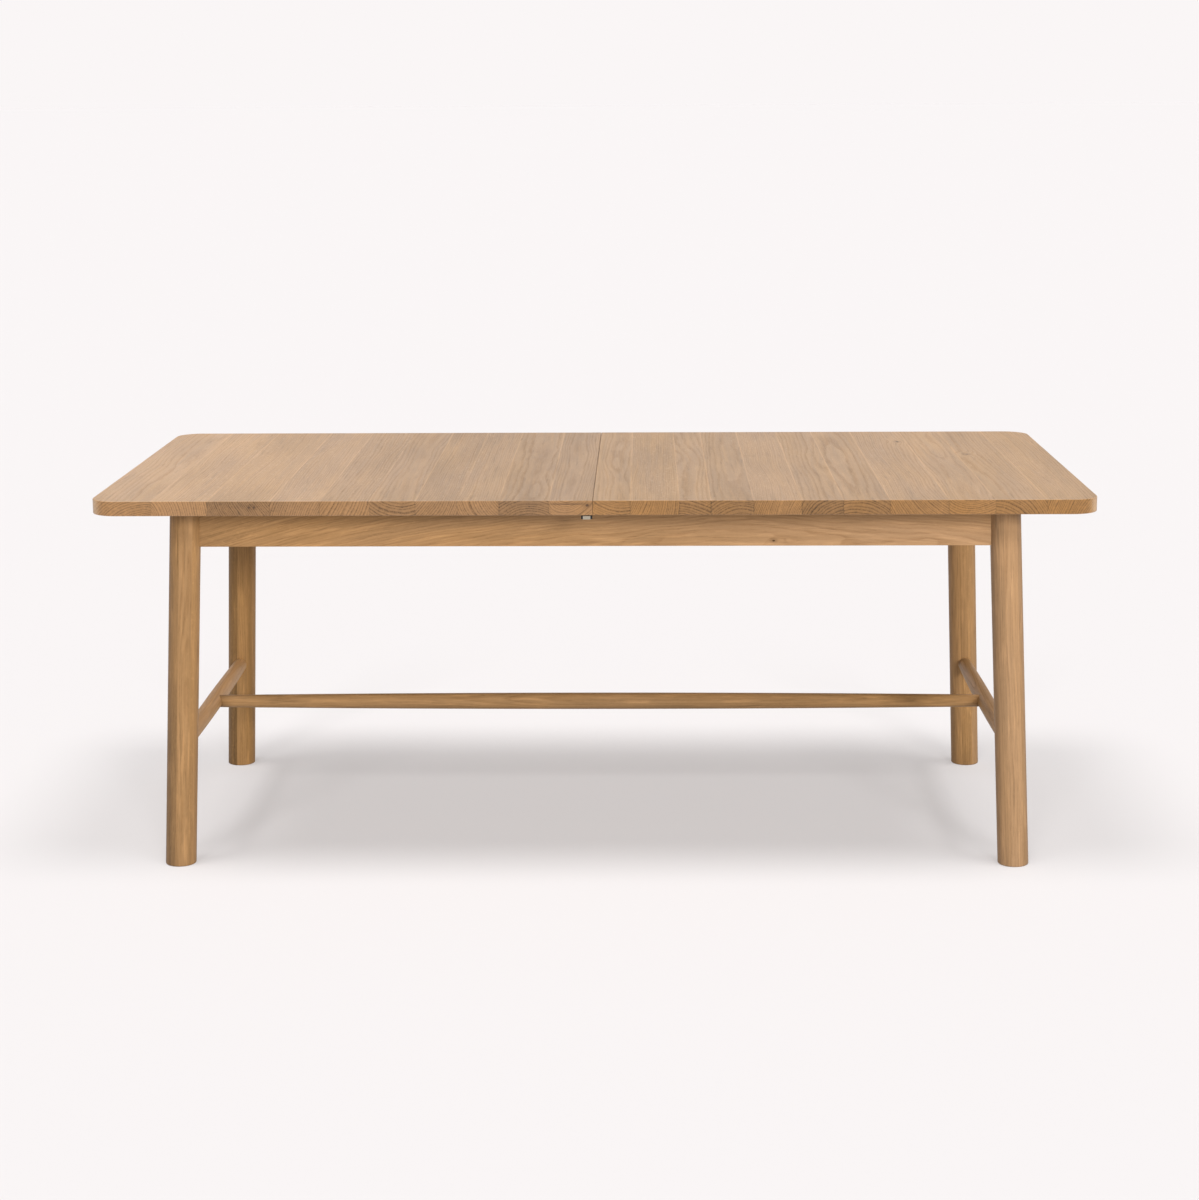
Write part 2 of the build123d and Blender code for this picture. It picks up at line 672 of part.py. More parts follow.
def pivot_shank(seam_x, side_y, gap=0.0):
    """The shank of a catch's pivot rivet."""
    x, y = pivot_place(seam_x, side_y)
    low = ARM_BOTTOM - PLATE_RUNNING_GAP
    return rod((x, y, low), (x, y, UNDERSIDE + PIVOT_DEPTH + gap), PIVOT_DIAMETER / 2 + gap)


def make_catch_plate(seam_x, side_y):
    """The flat base plate of a catch."""
    x, y = pivot_place(seam_x, side_y)
    half = PLATE_WIDTH / 2
    edge_side = y + side_y * PLATE_FRONT
    inner_side = y - side_y * PLATE_REAR
    plate = block(x - half, x + half, edge_side, inner_side, PLATE_BOTTOM, UNDERSIDE)
    plate -= pivot_shank(seam_x, side_y, GLUE_LINE)
    for seat in catch_screw_seats(seam_x, side_y):
        plate -= screw_body(seat, (0, 0, 1), SMALL_SCREW, GLUE_LINE)
    return plate


def make_catch_pivot(seam_x, side_y):
    """The rivet that a lever turns on, with its head under the lever."""
    x, y = pivot_place(seam_x, side_y)
    head_top = ARM_BOTTOM - PLATE_RUNNING_GAP
    head = rod((x, y, head_top - PIVOT_HEAD_HEIGHT), (x, y, head_top), PIVOT_HEAD_DIAMETER / 2)
    return Part() + head + pivot_shank(seam_x, side_y)


def make_catch_lever(seam_x, side_y):
    """A cast lever: hub, flat arm and a raised head that hooks behind the keeper's rib."""
    x, y = pivot_place(seam_x, side_y)
    hub_top = PLATE_BOTTOM - PLATE_RUNNING_GAP
    hub = rod((x, y, ARM_BOTTOM), (x, y, hub_top), HUB_DIAMETER / 2)
    half_arm = ARM_WIDTH / 2
    half_head = HEAD_WIDTH / 2
    inner = y + side_y * HEAD_INNER
    outer = y + side_y * HEAD_OUTER
    arm = block(x - half_arm, x + half_arm, y, outer, ARM_BOTTOM, ARM_TOP)
    head = block(x - half_head, x + half_head, inner, outer, ARM_BOTTOM, HEAD_TOP)
    lever = Part() + hub + arm + head
    bore = rod((x, y, ARM_BOTTOM - 1), (x, y, hub_top + 1), PIVOT_DIAMETER / 2 + PIVOT_GAP)
    return lever - bore


def make_catch_grips(seam_x, side_y):
    """Two dark grips on the sides of a lever's head."""
    x, y = pivot_place(seam_x, side_y)
    inner = y + side_y * (HEAD_INNER + GRIP_INSET)
    outer = y + side_y * (HEAD_OUTER - GRIP_INSET)
    near = HEAD_WIDTH / 2
    far = near + GRIP_THICKNESS
    low = HEAD_TOP - GRIP_HEIGHT
    return [block(x + side * near, x + side * far, inner, outer, low, HEAD_TOP) for side in (-1, 1)]


def make_keeper(seam_x, side_y):
    """A keeper plate with a rib for a lever to hook behind."""
    start = seam_x + KEEPER_START
    end = start + KEEPER_LENGTH
    middle = side_y * CATCH_Y
    half = KEEPER_WIDTH / 2
    plate = block(start, end, middle - half, middle + half, PLATE_BOTTOM, UNDERSIDE)
    rib_start = seam_x + RIB_START
    rib_end = rib_start + RIB_THICKNESS
    half_rib = RIB_WIDTH / 2
    rib_low = ARM_TOP + RIB_ARM_GAP
    rib = block(rib_start, rib_end, middle - half_rib, middle + half_rib, rib_low, PLATE_BOTTOM)
    keeper = plate + rib
    for seat in keeper_screw_seats(seam_x, side_y):
        keeper -= screw_body(seat, (0, 0, 1), SMALL_SCREW, GLUE_LINE)
    return keeper


def catch_side_fixings(panel, seam_x):
    """Drills a panel for the dowels, catch screws and rivets along its edge at seam_x."""
    for place in DOWEL_PLACES:
        panel -= dowel_hole(seam_x, place)
    for side_y in (FRONT, REAR):
        panel -= pivot_shank(seam_x, side_y, GLUE_LINE)
        for seat in catch_screw_seats(seam_x, side_y):
            panel -= screw_body(seat, (0, 0, 1), SMALL_SCREW, GLUE_LINE)
    return panel


def keeper_side_fixings(panel, seam_x):
    """Drills a panel for the dowel sockets and keeper screws along its edge at seam_x."""
    for place in DOWEL_PLACES:
        panel -= dowel_socket(seam_x, place)
    for side_y in (FRONT, REAR):
        for seat in keeper_screw_seats(seam_x, side_y):
            panel -= screw_body(seat, (0, 0, 1), SMALL_SCREW, GLUE_LINE)
    return panel


# ---------------------------------------------------------------- top halves and leaf
def is_outline_edge(edge):
    """True for the edges round a panel's upper and lower faces."""
    flat = edge.bounding_box().size.Z < TOUCH
    return flat and not is_seam_edge(edge)


def is_seam_edge(edge):
    """True for an edge of a top half along the seam."""
    box = edge.bounding_box()
    return box.size.X < TOUCH and abs(box.center().X) < SEAM_GAP


def make_top_half(side_x):
    """Half of the tabletop: two rounded outer corners, eased edges, a straight edge at the seam."""
    seam = side_x * SEAM_GAP / 2
    outer = side_x * HALF_LENGTH
    panel = block(seam, outer, -HALF_WIDTH, HALF_WIDTH, UNDERSIDE, TABLE_HEIGHT)
    corners = panel.edges().filter_by(Axis.Z).sort_by(Axis.X)
    outer_corners = corners[2:] if side_x == RIGHT else corners[:2]
    panel = fillet(outer_corners, CORNER_RADIUS)
    panel = ease(panel, EDGE_EASING, is_outline_edge)
    if side_x == LEFT:
        panel = catch_side_fixings(panel, seam)
    else:
        panel = keeper_side_fixings(panel, seam)
    for side_y in (FRONT, REAR):
        for seat in runner_screw_seats(side_x, side_y):
            panel -= screw_body(seat, (0, 0, 1), RUNNER_SCREW, GLUE_LINE)
    return panel


def make_leaf():
    """The loose leaf in its working place, with eased edges and the fixings of both seams."""
    half = LEAF_WIDTH / 2
    panel = block(-half, half, -HALF_WIDTH, HALF_WIDTH, UNDERSIDE, TABLE_HEIGHT)
    panel = fillet(panel.edges().filter_by(Axis.X), EDGE_EASING)
    panel = keeper_side_fixings(panel, -half)
    return catch_side_fixings(panel, half)


# ---------------------------------------------------------------- the assembly
def frame_nodes():
    """Everything that stands still."""
    nodes = {}
    for side_x, side_y in CORNERS:
        corner = f"{DEPTH_NAMES[side_y]}_{SIDE_NAMES[side_x]}"
        nodes[f"leg_{corner}"] = [make_leg(side_x, side_y)]
        nodes[f"corner_block_{corner}"] = [make_corner_block(side_x, side_y)]
    for side_y in (FRONT, REAR):
        nodes[f"apron_{DEPTH_NAMES[side_y]}"] = [make_long_apron(side_y)]
        nodes[f"guide_rail_{DEPTH_NAMES[side_y]}"] = [make_guide_rail(side_y)]
    for side_x in (LEFT, RIGHT):
        nodes[f"apron_{SIDE_NAMES[side_x]}"] = [make_end_apron(side_x)]
        nodes[f"stretcher_{SIDE_NAMES[side_x]}"] = [make_side_stretcher(side_x)]
        nodes[f"leaf_bearer_{SIDE_NAMES[side_x]}"] = [make_bearer(side_x)]
    nodes["stretcher_long"] = [make_long_stretcher()]
    nodes["hanger_bolts"] = make_hanger_bolts()
    nodes["bolt_washers"] = make_bolt_washers()
    nodes["bolt_nuts"] = make_bolt_nuts()
    nodes["guide_rail_screws"] = make_rail_screws()
    nodes["bearer_felts"] = make_bearer_felts()
    nodes["leaf_guides"] = make_leaf_guides()
    nodes["glide_strips"] = make_glide_strips()
    nodes["stop_pads"] = make_stop_pads()
    return nodes


def catch_nodes(seam_x, prefix):
    """Dowels and both catches along the edge of a panel at seam_x."""
    nodes = {f"{prefix}dowels": [dowel(seam_x, place) for place in DOWEL_PLACES]}
    screws = []
    pivots = []
    for side_y in (FRONT, REAR):
        end = DEPTH_NAMES[side_y]
        nodes[f"{prefix}catch_plate_{end}"] = [make_catch_plate(seam_x, side_y)]
        nodes[f"{prefix}catch_lever_{end}"] = [make_catch_lever(seam_x, side_y)]
        nodes[f"{prefix}catch_grips_{end}"] = make_catch_grips(seam_x, side_y)
        pivots.append(make_catch_pivot(seam_x, side_y))
        for seat in catch_screw_seats(seam_x, side_y):
            screws.append(screw(seat, (0, 0, 1), SMALL_SCREW))
    nodes[f"{prefix}catch_pivots"] = pivots
    nodes[f"{prefix}catch_screws"] = screws
    return nodes


def keeper_nodes(seam_x, prefix):
    """Both keepers along the edge of a panel at seam_x."""
    keepers = []
    screws = []
    for side_y in (FRONT, REAR):
        keepers.append(make_keeper(seam_x, side_y))
        for seat in keeper_screw_seats(seam_x, side_y):
            screws.append(screw(seat, (0, 0, 1), SMALL_SCREW))
    return {f"{prefix}keepers": keepers, f"{prefix}keeper_screws": screws}


def top_nodes(side_x):
    """A top half with its runners and screws."""
    name = SIDE_NAMES[side_x]
    nodes = {f"top_{name}": [make_top_half(side_x)]}
    for side_y in (FRONT, REAR):
        nodes[f"runner_{name}_{DEPTH_NAMES[side_y]}"] = [make_runner(side_x, side_y)]
    nodes[f"runner_screws_{name}"] = make_runner_screws(side_x)
    return nodes


def leaf_nodes():
    """The loose leaf with its own dowels, catches and keepers, moved to storage."""
    half = LEAF_WIDTH / 2
    nodes = {"extension_leaf": [make_leaf()]}
    nodes.update(catch_nodes(half, "leaf_"))
    nodes.update(keeper_nodes(-half, "leaf_"))
    return {name: [STORED * solid for solid in solids] for name, solids in nodes.items()}


def all_nodes():
    """Every node of the table, by name."""
    nodes = frame_nodes()
    nodes.update(top_nodes(LEFT))
    nodes.update(top_nodes(RIGHT))
    nodes.update(catch_nodes(-SEAM_GAP / 2, "seam_"))
    nodes.update(keeper_nodes(SEAM_GAP / 2, "seam_"))
    nodes.update(leaf_nodes())
    return nodes


os.makedirs("parts", exist_ok=True)
for node_name, node_shapes in all_nodes().items():
    node_solids = [solid for shape in node_shapes for solid in shape.solids()]
    node = node_solids[0] if len(node_solids) == 1 else Compound(node_solids)
    export_step(node, f"parts/{node_name}.step")
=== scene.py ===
import math
import random
from functools import partial

import bpy
import bmesh
from mathutils import Matrix, Vector


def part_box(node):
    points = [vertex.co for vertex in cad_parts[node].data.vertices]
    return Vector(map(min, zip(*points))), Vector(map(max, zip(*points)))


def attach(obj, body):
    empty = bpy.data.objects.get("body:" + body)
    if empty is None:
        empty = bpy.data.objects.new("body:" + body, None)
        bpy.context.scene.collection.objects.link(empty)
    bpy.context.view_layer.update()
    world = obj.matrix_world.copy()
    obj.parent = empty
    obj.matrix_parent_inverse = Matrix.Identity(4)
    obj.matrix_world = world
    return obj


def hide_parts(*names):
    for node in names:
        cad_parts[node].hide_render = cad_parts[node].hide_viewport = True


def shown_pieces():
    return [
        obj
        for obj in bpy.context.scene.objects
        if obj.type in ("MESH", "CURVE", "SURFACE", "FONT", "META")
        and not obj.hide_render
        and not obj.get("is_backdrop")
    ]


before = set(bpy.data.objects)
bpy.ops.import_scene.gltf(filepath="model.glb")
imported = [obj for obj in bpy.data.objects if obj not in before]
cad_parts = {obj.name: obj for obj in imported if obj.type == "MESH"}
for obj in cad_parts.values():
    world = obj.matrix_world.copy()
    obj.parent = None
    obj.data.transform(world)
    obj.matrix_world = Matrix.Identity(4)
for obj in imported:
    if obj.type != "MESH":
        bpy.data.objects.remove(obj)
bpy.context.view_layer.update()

# The looks of the extendable oak table. Metres, +Z up, the front of the table faces -Y.
# Each timber mesh made here carries corner attributes. "grain" is a place in the board's own
# log, in metres, with the pith along the third axis. "board" holds its tone, its warmth and how
# wide its growth rings are. The solid timber material reads both, so rings, pores and flecks run
# through a board from its face to its end grain. On the glued panels "joint" holds how far a
# point is from the two joints of its stave. Timber that keeps its CAD mesh has no attributes,
# and its own material says where it lies in its log.

MM = 0.001
CLOSE = 1e-6                   # coordinates this near are the same

# ---------------------------------------------------------------- shared dimensions
SEAM = 0.3 * MM                # each half stops this far from the middle
EASING = 1.5 * MM
SEAM_EASING = 0.5 * MM
EASING_STEPS = 4
CORNER_RADIUS = 50 * MM
CORNER_STEPS = 16
SHARP_ANGLE = math.radians(50)
FLAT_FACE_WEIGHT = 90
END_FACE = 0.7                 # a face whose normal leans more along the grain is end grain
SOCKET_RADIUS = 5.3 * MM
SOCKET_DEPTH = 16 * MM
SOCKET_OVERSHOOT = 2 * MM      # the cutter stands this far out of the wood
SOCKET_STEPS = 40
DOWEL_PLACES = (-360 * MM, -120 * MM, 120 * MM, 360 * MM)
DOWEL_DEPTH = 14 * MM          # dowel axis below the upper face
NO_JOINT = 1.0                 # stands for the distance to a joint that isn't there

LEG_RADIUS = 30 * MM
LEG_SPLAY = 0.0434             # how far a leg leans out both ways, as a slope
LEG_TOP = (790 * MM, 342 * MM)
UNDERSIDE = 712 * MM
FRAME_TOP = 710 * MM
FOOT_ROUNDING = 2.5 * MM
FOOT_STEPS = 6
LEG_LEVEL_HEIGHTS = range(50, 701, 50)      # in mm
LEG_TOP_EASING = 0.5 * MM
ROD_STEPS = 72
STRETCHER_STEPS = 36
STRETCHER_MIDDLE = 17.25 * MM  # radius
SIDE_STRETCHER_END = 14 * MM
LONG_STRETCHER_END = 12.75 * MM


# ---------------------------------------------------------------- material graphs
MIX_COLOURS = (6, 7)           # the colour inputs of a Mix node
VECTOR_SCALE = 3               # the scale input of a VectorMath node


class Graph:
    """Short calls that build one material's nodes. Values are numbers, vectors or sockets."""

    def __init__(self, name):
        self.material = bpy.data.materials.new(name)
        self.material.use_nodes = True
        self.tree = self.material.node_tree
        self.tree.nodes.clear()

    def set(self, socket, value):
        if isinstance(value, bpy.types.NodeSocket):
            self.tree.links.new(value, socket)
        elif value is not None:
            socket.default_value = value

    def node(self, kind, **settings):
        made = self.tree.nodes.new(kind)
        for key, value in settings.items():
            setattr(made, key, value)
        return made

    def math(self, operation, first, second=None, third=None, clamp=False):
        made = self.node("ShaderNodeMath", operation=operation, use_clamp=clamp)
        for socket, value in zip(made.inputs, (first, second, third)):
            self.set(socket, value)
        return made.outputs[0]

    def vector(self, operation, first, second=None, scale=None):
        made = self.node("ShaderNodeVectorMath", operation=operation)
        self.set(made.inputs[0], first)
        self.set(made.inputs[1], second)
        self.set(made.inputs[VECTOR_SCALE], scale)
        return made.outputs[1 if operation in ("LENGTH", "DOT_PRODUCT") else 0]

    def split(self, value):
        made = self.node("ShaderNodeSeparateXYZ")
        self.set(made.inputs[0], value)
        return made.outputs[0], made.outputs[1], made.outputs[2]

    def join(self, x, y, z):
        made = self.node("ShaderNodeCombineXYZ")
        for socket, value in zip(made.inputs, (x, y, z)):
            self.set(socket, value)
        return made.outputs[0]

    def noise(self, place, scale=1.0, detail=2.0, roughness=0.5, colour=False):
        made = self.node("ShaderNodeTexNoise", noise_dimensions="3D")
        self.set(made.inputs["Vector"], place)
        self.set(made.inputs["Scale"], scale)
        self.set(made.inputs["Detail"], detail)
        self.set(made.inputs["Roughness"], roughness)
        return made.outputs["Color" if colour else "Fac"]

    def grain_noise(self, kind, place, colour=False):
        """One of the noises in GRAIN, drawn out along the grain."""
        scales, detail = GRAIN[kind]
        return self.noise(self.vector("MULTIPLY", place, scales), detail=detail, colour=colour)

    def grain_spots(self, kind, place, least=0.0):
        """The peaks of one of the noises in GRAIN, from least between them to 1 on them."""
        return self.remap(self.grain_noise(kind, place), *PEAKS[kind], least, 1.0)

    def remap(self, value, low, high, to_low=0.0, to_high=1.0):
        made = self.node("ShaderNodeMapRange", interpolation_type="SMOOTHSTEP")
        for socket, number in zip(made.inputs, (value, low, high, to_low, to_high)):
            self.set(socket, number)
        return made.outputs[0]

    def mix(self, factor, first, second, mode="MIX"):
        made = self.node("ShaderNodeMix", data_type="RGBA", blend_type=mode)
        self.set(made.inputs[0], factor)
        for index, value in zip(MIX_COLOURS, (first, second)):
            self.set(made.inputs[index], opaque(value))
        return made.outputs[2]

    def around(self, value, amount):
        """A noise value turned into a small change, from -amount/2 to +amount/2."""
        return self.math("MULTIPLY", self.math("SUBTRACT", value, 0.5), amount)

    def total(self, *values):
        result = values[0]
        for value in values[1:]:
            result = self.math("ADD", result, value)
        return result

    def bump(self, height, distance, strength=1.0):
        made = self.node("ShaderNodeBump")
        made.inputs["Strength"].default_value = strength
        made.inputs["Distance"].default_value = distance
        self.set(made.inputs["Height"], height)
        return made.outputs[0]

    def finish(self, colour, roughness, normal=None, **sockets):
        shader = self.node("ShaderNodeBsdfPrincipled")
        self.set(shader.inputs["Base Color"], opaque(colour))
        self.set(shader.inputs["Roughness"], roughness)
        self.set(shader.inputs["Normal"], normal)
        for key, value in sockets.items():
            self.set(shader.inputs[key.replace("_", " ")], value)
        output = self.node("ShaderNodeOutputMaterial")
        self.tree.links.new(shader.outputs[0], output.inputs[0])
        return self.material


def opaque(value):
    """A colour with its alpha, or the value itself."""
    if isinstance(value, tuple) and len(value) == 3:
        return (*value, 1.0)
    return value


AXES = {"X": (1.0, 0.0, 0.0), "Y": (0.0, 1.0, 0.0), "Z": (0.0, 0.0, 1.0)}

# "late" and "early" are the two parts of a growth ring, and "end" darkens both on end grain.
# "warp" and "ripple" are how far the rings stray, "curl" how often they do so along a metre.
# "figure" is how clear the rings are on a face, and "blond" how bright the pale streaks are.
OAK = {
    "late": (0.324, 0.187, 0.081),
    "early": (0.196, 0.100, 0.038),
    "end": (0.62, 0.57, 0.52),
    "ring": 4.2 * MM,
    "warp": 20 * MM,
    "ripple": 8.0 * MM,
    "curl": 11.0,
    "figure": 0.45,
    "blond": 0.20,
    "pores": 0.55,
    "flecks": 0.10,
    "rough": 0.50,
    "shine": 0.08,
}
OAK_TOP = dict(
    OAK, late=(0.345, 0.222, 0.122), early=(0.235, 0.140, 0.070), end=(0.63, 0.533, 0.398),
    ring=4.6 * MM, ripple=5.0 * MM, curl=6.0, figure=0.44, blond=0.06, rough=0.44, shine=0.5,
)
OAK_TURNED = dict(
    OAK, late=(0.260, 0.150, 0.0645), early=(0.163, 0.083, 0.0305),
    ripple=5.0 * MM, curl=6.0, shine=0.18,
)
BEECH = {
    "late": (0.500, 0.318, 0.178),
    "early": (0.425, 0.250, 0.130),
    "end": (0.74, 0.68, 0.60),
    "ring": 3.2 * MM,
    "warp": 14 * MM,
    "ripple": 2.0 * MM,
    "curl": 6.0,
    "figure": 0.80,
    "blond": 0.04,
    "pores": 0.18,
    "flecks": 0.16,
    "rough": 0.55,
    "shine": 0.3,
}

# the noises of timber: changes along a metre, across, across and along the grain, and octaves
GRAIN = {
    "warp": ((6.0, 6.0, 1.7), 1.0),
    "cloud": ((11.0, 11.0, 2.6), 2.0),
    "warm_patch": ((17.0, 17.0, 2.4), 2.0),
    "joint": ((40.0, 40.0, 5.0), 2.0),
    "blond": ((120.0, 120.0, 12.0), 2.0),
    "streak": ((130.0, 130.0, 2.2), 3.0),
    "dash": ((190.0, 190.0, 11.0), 1.0),
    "vein": ((330.0, 330.0, 8.0), 2.0),
    "early": ((380.0, 380.0, 16.0), 2.0),
    "fibre": ((620.0, 620.0, 7.0), 3.0),
    "vessel": ((1700.0, 1700.0, 70.0), 1.0),
}
# the noise values between which a spot of each kind fades in
PEAKS = {
    "joint": (0.34, 0.56),
    "blond": (0.50, 0.72),
    "dash": (0.64, 0.74),
    "early": (0.34, 0.62),
    "vessel": (0.56, 0.70),
    "fleck": (0.56, 0.68),
    "year": (0.3, 0.7),
}
RIPPLE_ACROSS = 30.0
MIDDLE_GREY = (0.5, 0.5, 0.5)
RAY_SCALES = (150.0, 80.0, 120.0)         # round the pith, outwards and along the grain
# rings: how unevenly the years follow each other, and where in a year the early wood stops and
# the next early wood begins
YEAR_DRIFT, YEAR_SPREAD = 0.31, 2.6
EARLY_STOP, EARLY_START = 0.55, 0.86
# least shares: early wood in a weak year, between dashes, and a glue line where it fades
WEAK_YEAR, DASH_GAP, JOINT_GAP = 0.45, 0.40, 0.35
END_SLOPES = (0.55, 0.9)                  # end grain fades in between these slopes
# how far each kind of detail moves the brightness
CLOUDS, STREAKS, VEINS, FIBRES = 0.44, 0.42, 0.26, 0.20
END_RINGS, DASHES, PORES = -0.44, -0.16, -0.6
TONE_STEP = 0.11                          # brightness gained by a board for each step of tone
WARM_RED, WARM_BLUE = 0.06, -0.20         # and red and blue gained for each step of warmth
PATCH_WARMTH = 1.3
LINE_INNER, LINE_OUTER = 0.4 * MM, 2.4 * MM
LINE_ON_FACE, LINE_ON_END = 0.26, -0.20
# a knot or check, in its own half sizes: the reach of bent rings, its dark core and its halo
KNOT_REACH, KNOT_CORE, KNOT_HALO = 8.0, (0.55, 1.0), (0.8, 3.0)
CORE_DARK, HALO_DARK = 0.9, 0.30
KNOT_COLOUR = (0.045, 0.022, 0.010)
PORE_DEPTH = 0.12 * MM


def log_place(graph, axis, pith, shift):
    """Where a point of a plain board is in its log: across, across, then along the grain."""
    x, y, z = graph.split(graph.node("ShaderNodeTexCoord").outputs["Object"])
    across = {"X": (y, z, x), "Y": (x, z, y), "Z": (x, y, z)}[axis]
    return graph.join(
        graph.math("SUBTRACT", across[0], pith[0]),
        graph.math("SUBTRACT", across[1], pith[1]),
        graph.math("ADD", across[2], shift),
    )


def timber(
    name, wood, axis, pith=None, shift=0.0, tone=0.0, warmth=0.0, drift=(0.0, 0.0),
    sweep=(0.0, 0.0), marks=(), glued=False,
):
    """Solid timber with its grain along axis. Without a pith, the board attributes place it.

    drift is how tone and warmth change along a metre. sweep is the slope of the grain at the
    table's middle and how the slope changes along a metre. Each mark is a knot or a fine check:
    its place in the table's frame, its three half sizes, and how many rings it pushes aside.
    Glued timber shows the joints of its staves: pale on a face, where the planed edges catch the
    light, and dark across the end grain.
    """
    g = Graph(name)
    if pith is None:
        grain = g.node("ShaderNodeAttribute", attribute_name="grain").outputs["Vector"]
        board = g.node("ShaderNodeAttribute", attribute_name="board").outputs["Vector"]
        tone, warmth, width = g.split(board)
    else:
        width = 1.0
        grain = log_place(g, axis, pith, shift)
        along = g.math("SUBTRACT", g.split(grain)[2], shift)
        tone = g.math("MULTIPLY_ADD", along, drift[0], tone)
        warmth = g.math("MULTIPLY_ADD", along, drift[1], warmth)
        slope = g.math("MULTIPLY_ADD", along, sweep[1] / 2, sweep[0])
        grain = g.vector("SUBTRACT", grain, g.join(0.0, g.math("MULTIPLY", along, slope), 0.0))
    # growth rings round a pith that wanders
    slow = g.grain_noise("warp", grain, colour=True)
    fast_scales = (RIPPLE_ACROSS, RIPPLE_ACROSS, wood["curl"])
    fast = g.noise(g.vector("MULTIPLY", grain, fast_scales), detail=2.0, colour=True)
    warp_reach = (wood["warp"] * 2, wood["warp"], 0.0)
    ripple_reach = (wood["ripple"], wood["ripple"], 0.0)
    wander = g.vector("MULTIPLY", g.vector("SUBTRACT", slow, MIDDLE_GREY), warp_reach)
    ripple = g.vector("MULTIPLY", g.vector("SUBTRACT", fast, MIDDLE_GREY), ripple_reach)
    place = g.vector("ADD", g.vector("ADD", grain, wander), ripple)
    u, v, w = g.split(place)
    radius = g.vector("LENGTH", g.join(u, v, 0.0))
    rings = g.math("DIVIDE", radius, g.math("MULTIPLY", width, wood["ring"]))
    years = g.noise(g.join(g.math("MULTIPLY", rings, YEAR_DRIFT), w, 3.0), detail=1.0)
    rings = g.math("ADD", rings, g.around(years, YEAR_SPREAD))
    dark = None
    if marks:
        here = g.node("ShaderNodeTexCoord").outputs["Object"]
        rough_edge = g.around(g.noise(here, scale=260.0, detail=2.0), 0.5)
        for centre, half_sizes, bend in marks:
            apart = g.vector("SUBTRACT", here, centre)
            away = g.vector("LENGTH", g.vector("DIVIDE", apart, half_sizes))
            rings = g.math("ADD", rings, g.remap(away, 0.0, KNOT_REACH, bend, 0.0))
            edge = g.math("MULTIPLY", away, g.math("ADD", rough_edge, 1.0))
            core = g.remap(edge, *KNOT_CORE, CORE_DARK, 0.0)
            halo = g.remap(edge, *KNOT_HALO, HALO_DARK, 0.0)
            spot = g.math("MAXIMUM", core, halo)
            dark = spot if dark is None else g.math("MAXIMUM", dark, spot)
    share = g.math("FRACT", rings)
    this_year = g.remap(share, 0.0, EARLY_STOP, 1.0, 0.0)
    early = g.math("MAXIMUM", this_year, g.remap(share, EARLY_START, 1.0))
    # some years are stronger than others, and early wood comes in short dashes
    year = g.noise(g.join(g.math("MULTIPLY", rings, 0.9), 5.0, 1.0), detail=0.0)
    early = g.math("MULTIPLY", early, g.remap(year, *PEAKS["year"], WEAK_YEAR, 1.0))
    early = g.math("MULTIPLY", early, g.grain_spots("early", grain, DASH_GAP))
    # vessels, fibres and broad streaks, all drawn out along the grain
    in_ring = g.math("MULTIPLY_ADD", early, 0.75, 0.25)
    pore = g.math("MULTIPLY", g.grain_spots("vessel", grain), in_ring)
    fibre = g.grain_noise("fibre", grain)
    streak = g.grain_noise("streak", place)
    dash = g.grain_spots("dash", place)
    vein = g.grain_noise("vein", place)
    blond = g.grain_spots("blond", place)
    cloud = g.grain_noise("cloud", grain)
    # rays stand outwards from the pith, so flecks follow the angle round it
    around_pith = g.join(g.math("ARCTAN2", v, u), radius, w)
    ray = g.noise(g.vector("MULTIPLY", around_pith, RAY_SCALES), detail=2.0)
    fleck = g.remap(ray, *PEAKS["fleck"])
    # end grain drinks more oil, so it is darker and its rings are stronger
    facing = g.vector("DOT_PRODUCT", g.node("ShaderNodeTexCoord").outputs["Normal"], AXES[axis])
    end = g.remap(g.math("ABSOLUTE", facing), *END_SLOPES)
    contrast = g.math("MULTIPLY_ADD", end, 1.0 - wood["figure"], wood["figure"])
    colour = g.mix(g.math("MULTIPLY", early, contrast, clamp=True), wood["late"], wood["early"])
    colour = g.mix(end, colour, g.mix(1.0, colour, wood["end"], mode="MULTIPLY"))
    level = g.total(
        g.math("MULTIPLY_ADD", tone, TONE_STEP, 1.0),
        g.around(cloud, CLOUDS),
        g.around(streak, STREAKS),
        g.around(vein, VEINS),
        g.around(fibre, FIBRES),
        g.math("MULTIPLY", g.math("MULTIPLY", early, end), END_RINGS),
        g.math("MULTIPLY", dash, DASHES),
        g.math("MULTIPLY_ADD", blond, wood["blond"], -0.25 * wood["blond"]),
        g.math("MULTIPLY", fleck, wood["flecks"]),
        g.math("MULTIPLY", pore, PORES * wood["pores"]),
    )
    if glued:
        joint = g.split(g.node("ShaderNodeAttribute", attribute_name="joint").outputs["Vector"])
        line = g.remap(g.math("MINIMUM", joint[0], joint[1]), LINE_INNER, LINE_OUTER, 1.0, 0.0)
        broken = g.grain_spots("joint", grain, JOINT_GAP)
        change = g.math("MULTIPLY_ADD", end, LINE_ON_END - LINE_ON_FACE, LINE_ON_FACE)
        level = g.math("ADD", level, g.math("MULTIPLY", g.math("MULTIPLY", line, broken), change))
    colour = g.vector("SCALE", colour, scale=level)
    patch = g.grain_noise("warm_patch", grain)
    warm = g.total(g.math("MULTIPLY", warmth, 0.5), g.around(patch, PATCH_WARMTH))
    red = g.math("MULTIPLY_ADD", warm, WARM_RED, 1.0)
    blue = g.math("MULTIPLY_ADD", warm, WARM_BLUE, 1.0)
    colour = g.vector("MULTIPLY", colour, g.join(red, 1.0, blue))
    if dark is not None:
        colour = g.mix(dark, colour, KNOT_COLOUR)
    rough = g.total(
        g.math("MULTIPLY_ADD", early, 0.08, wood["rough"]),
        g.math("MULTIPLY", end, 0.10),
        g.math("MULTIPLY", fleck, -0.08),
        g.around(streak, 0.10),
    )
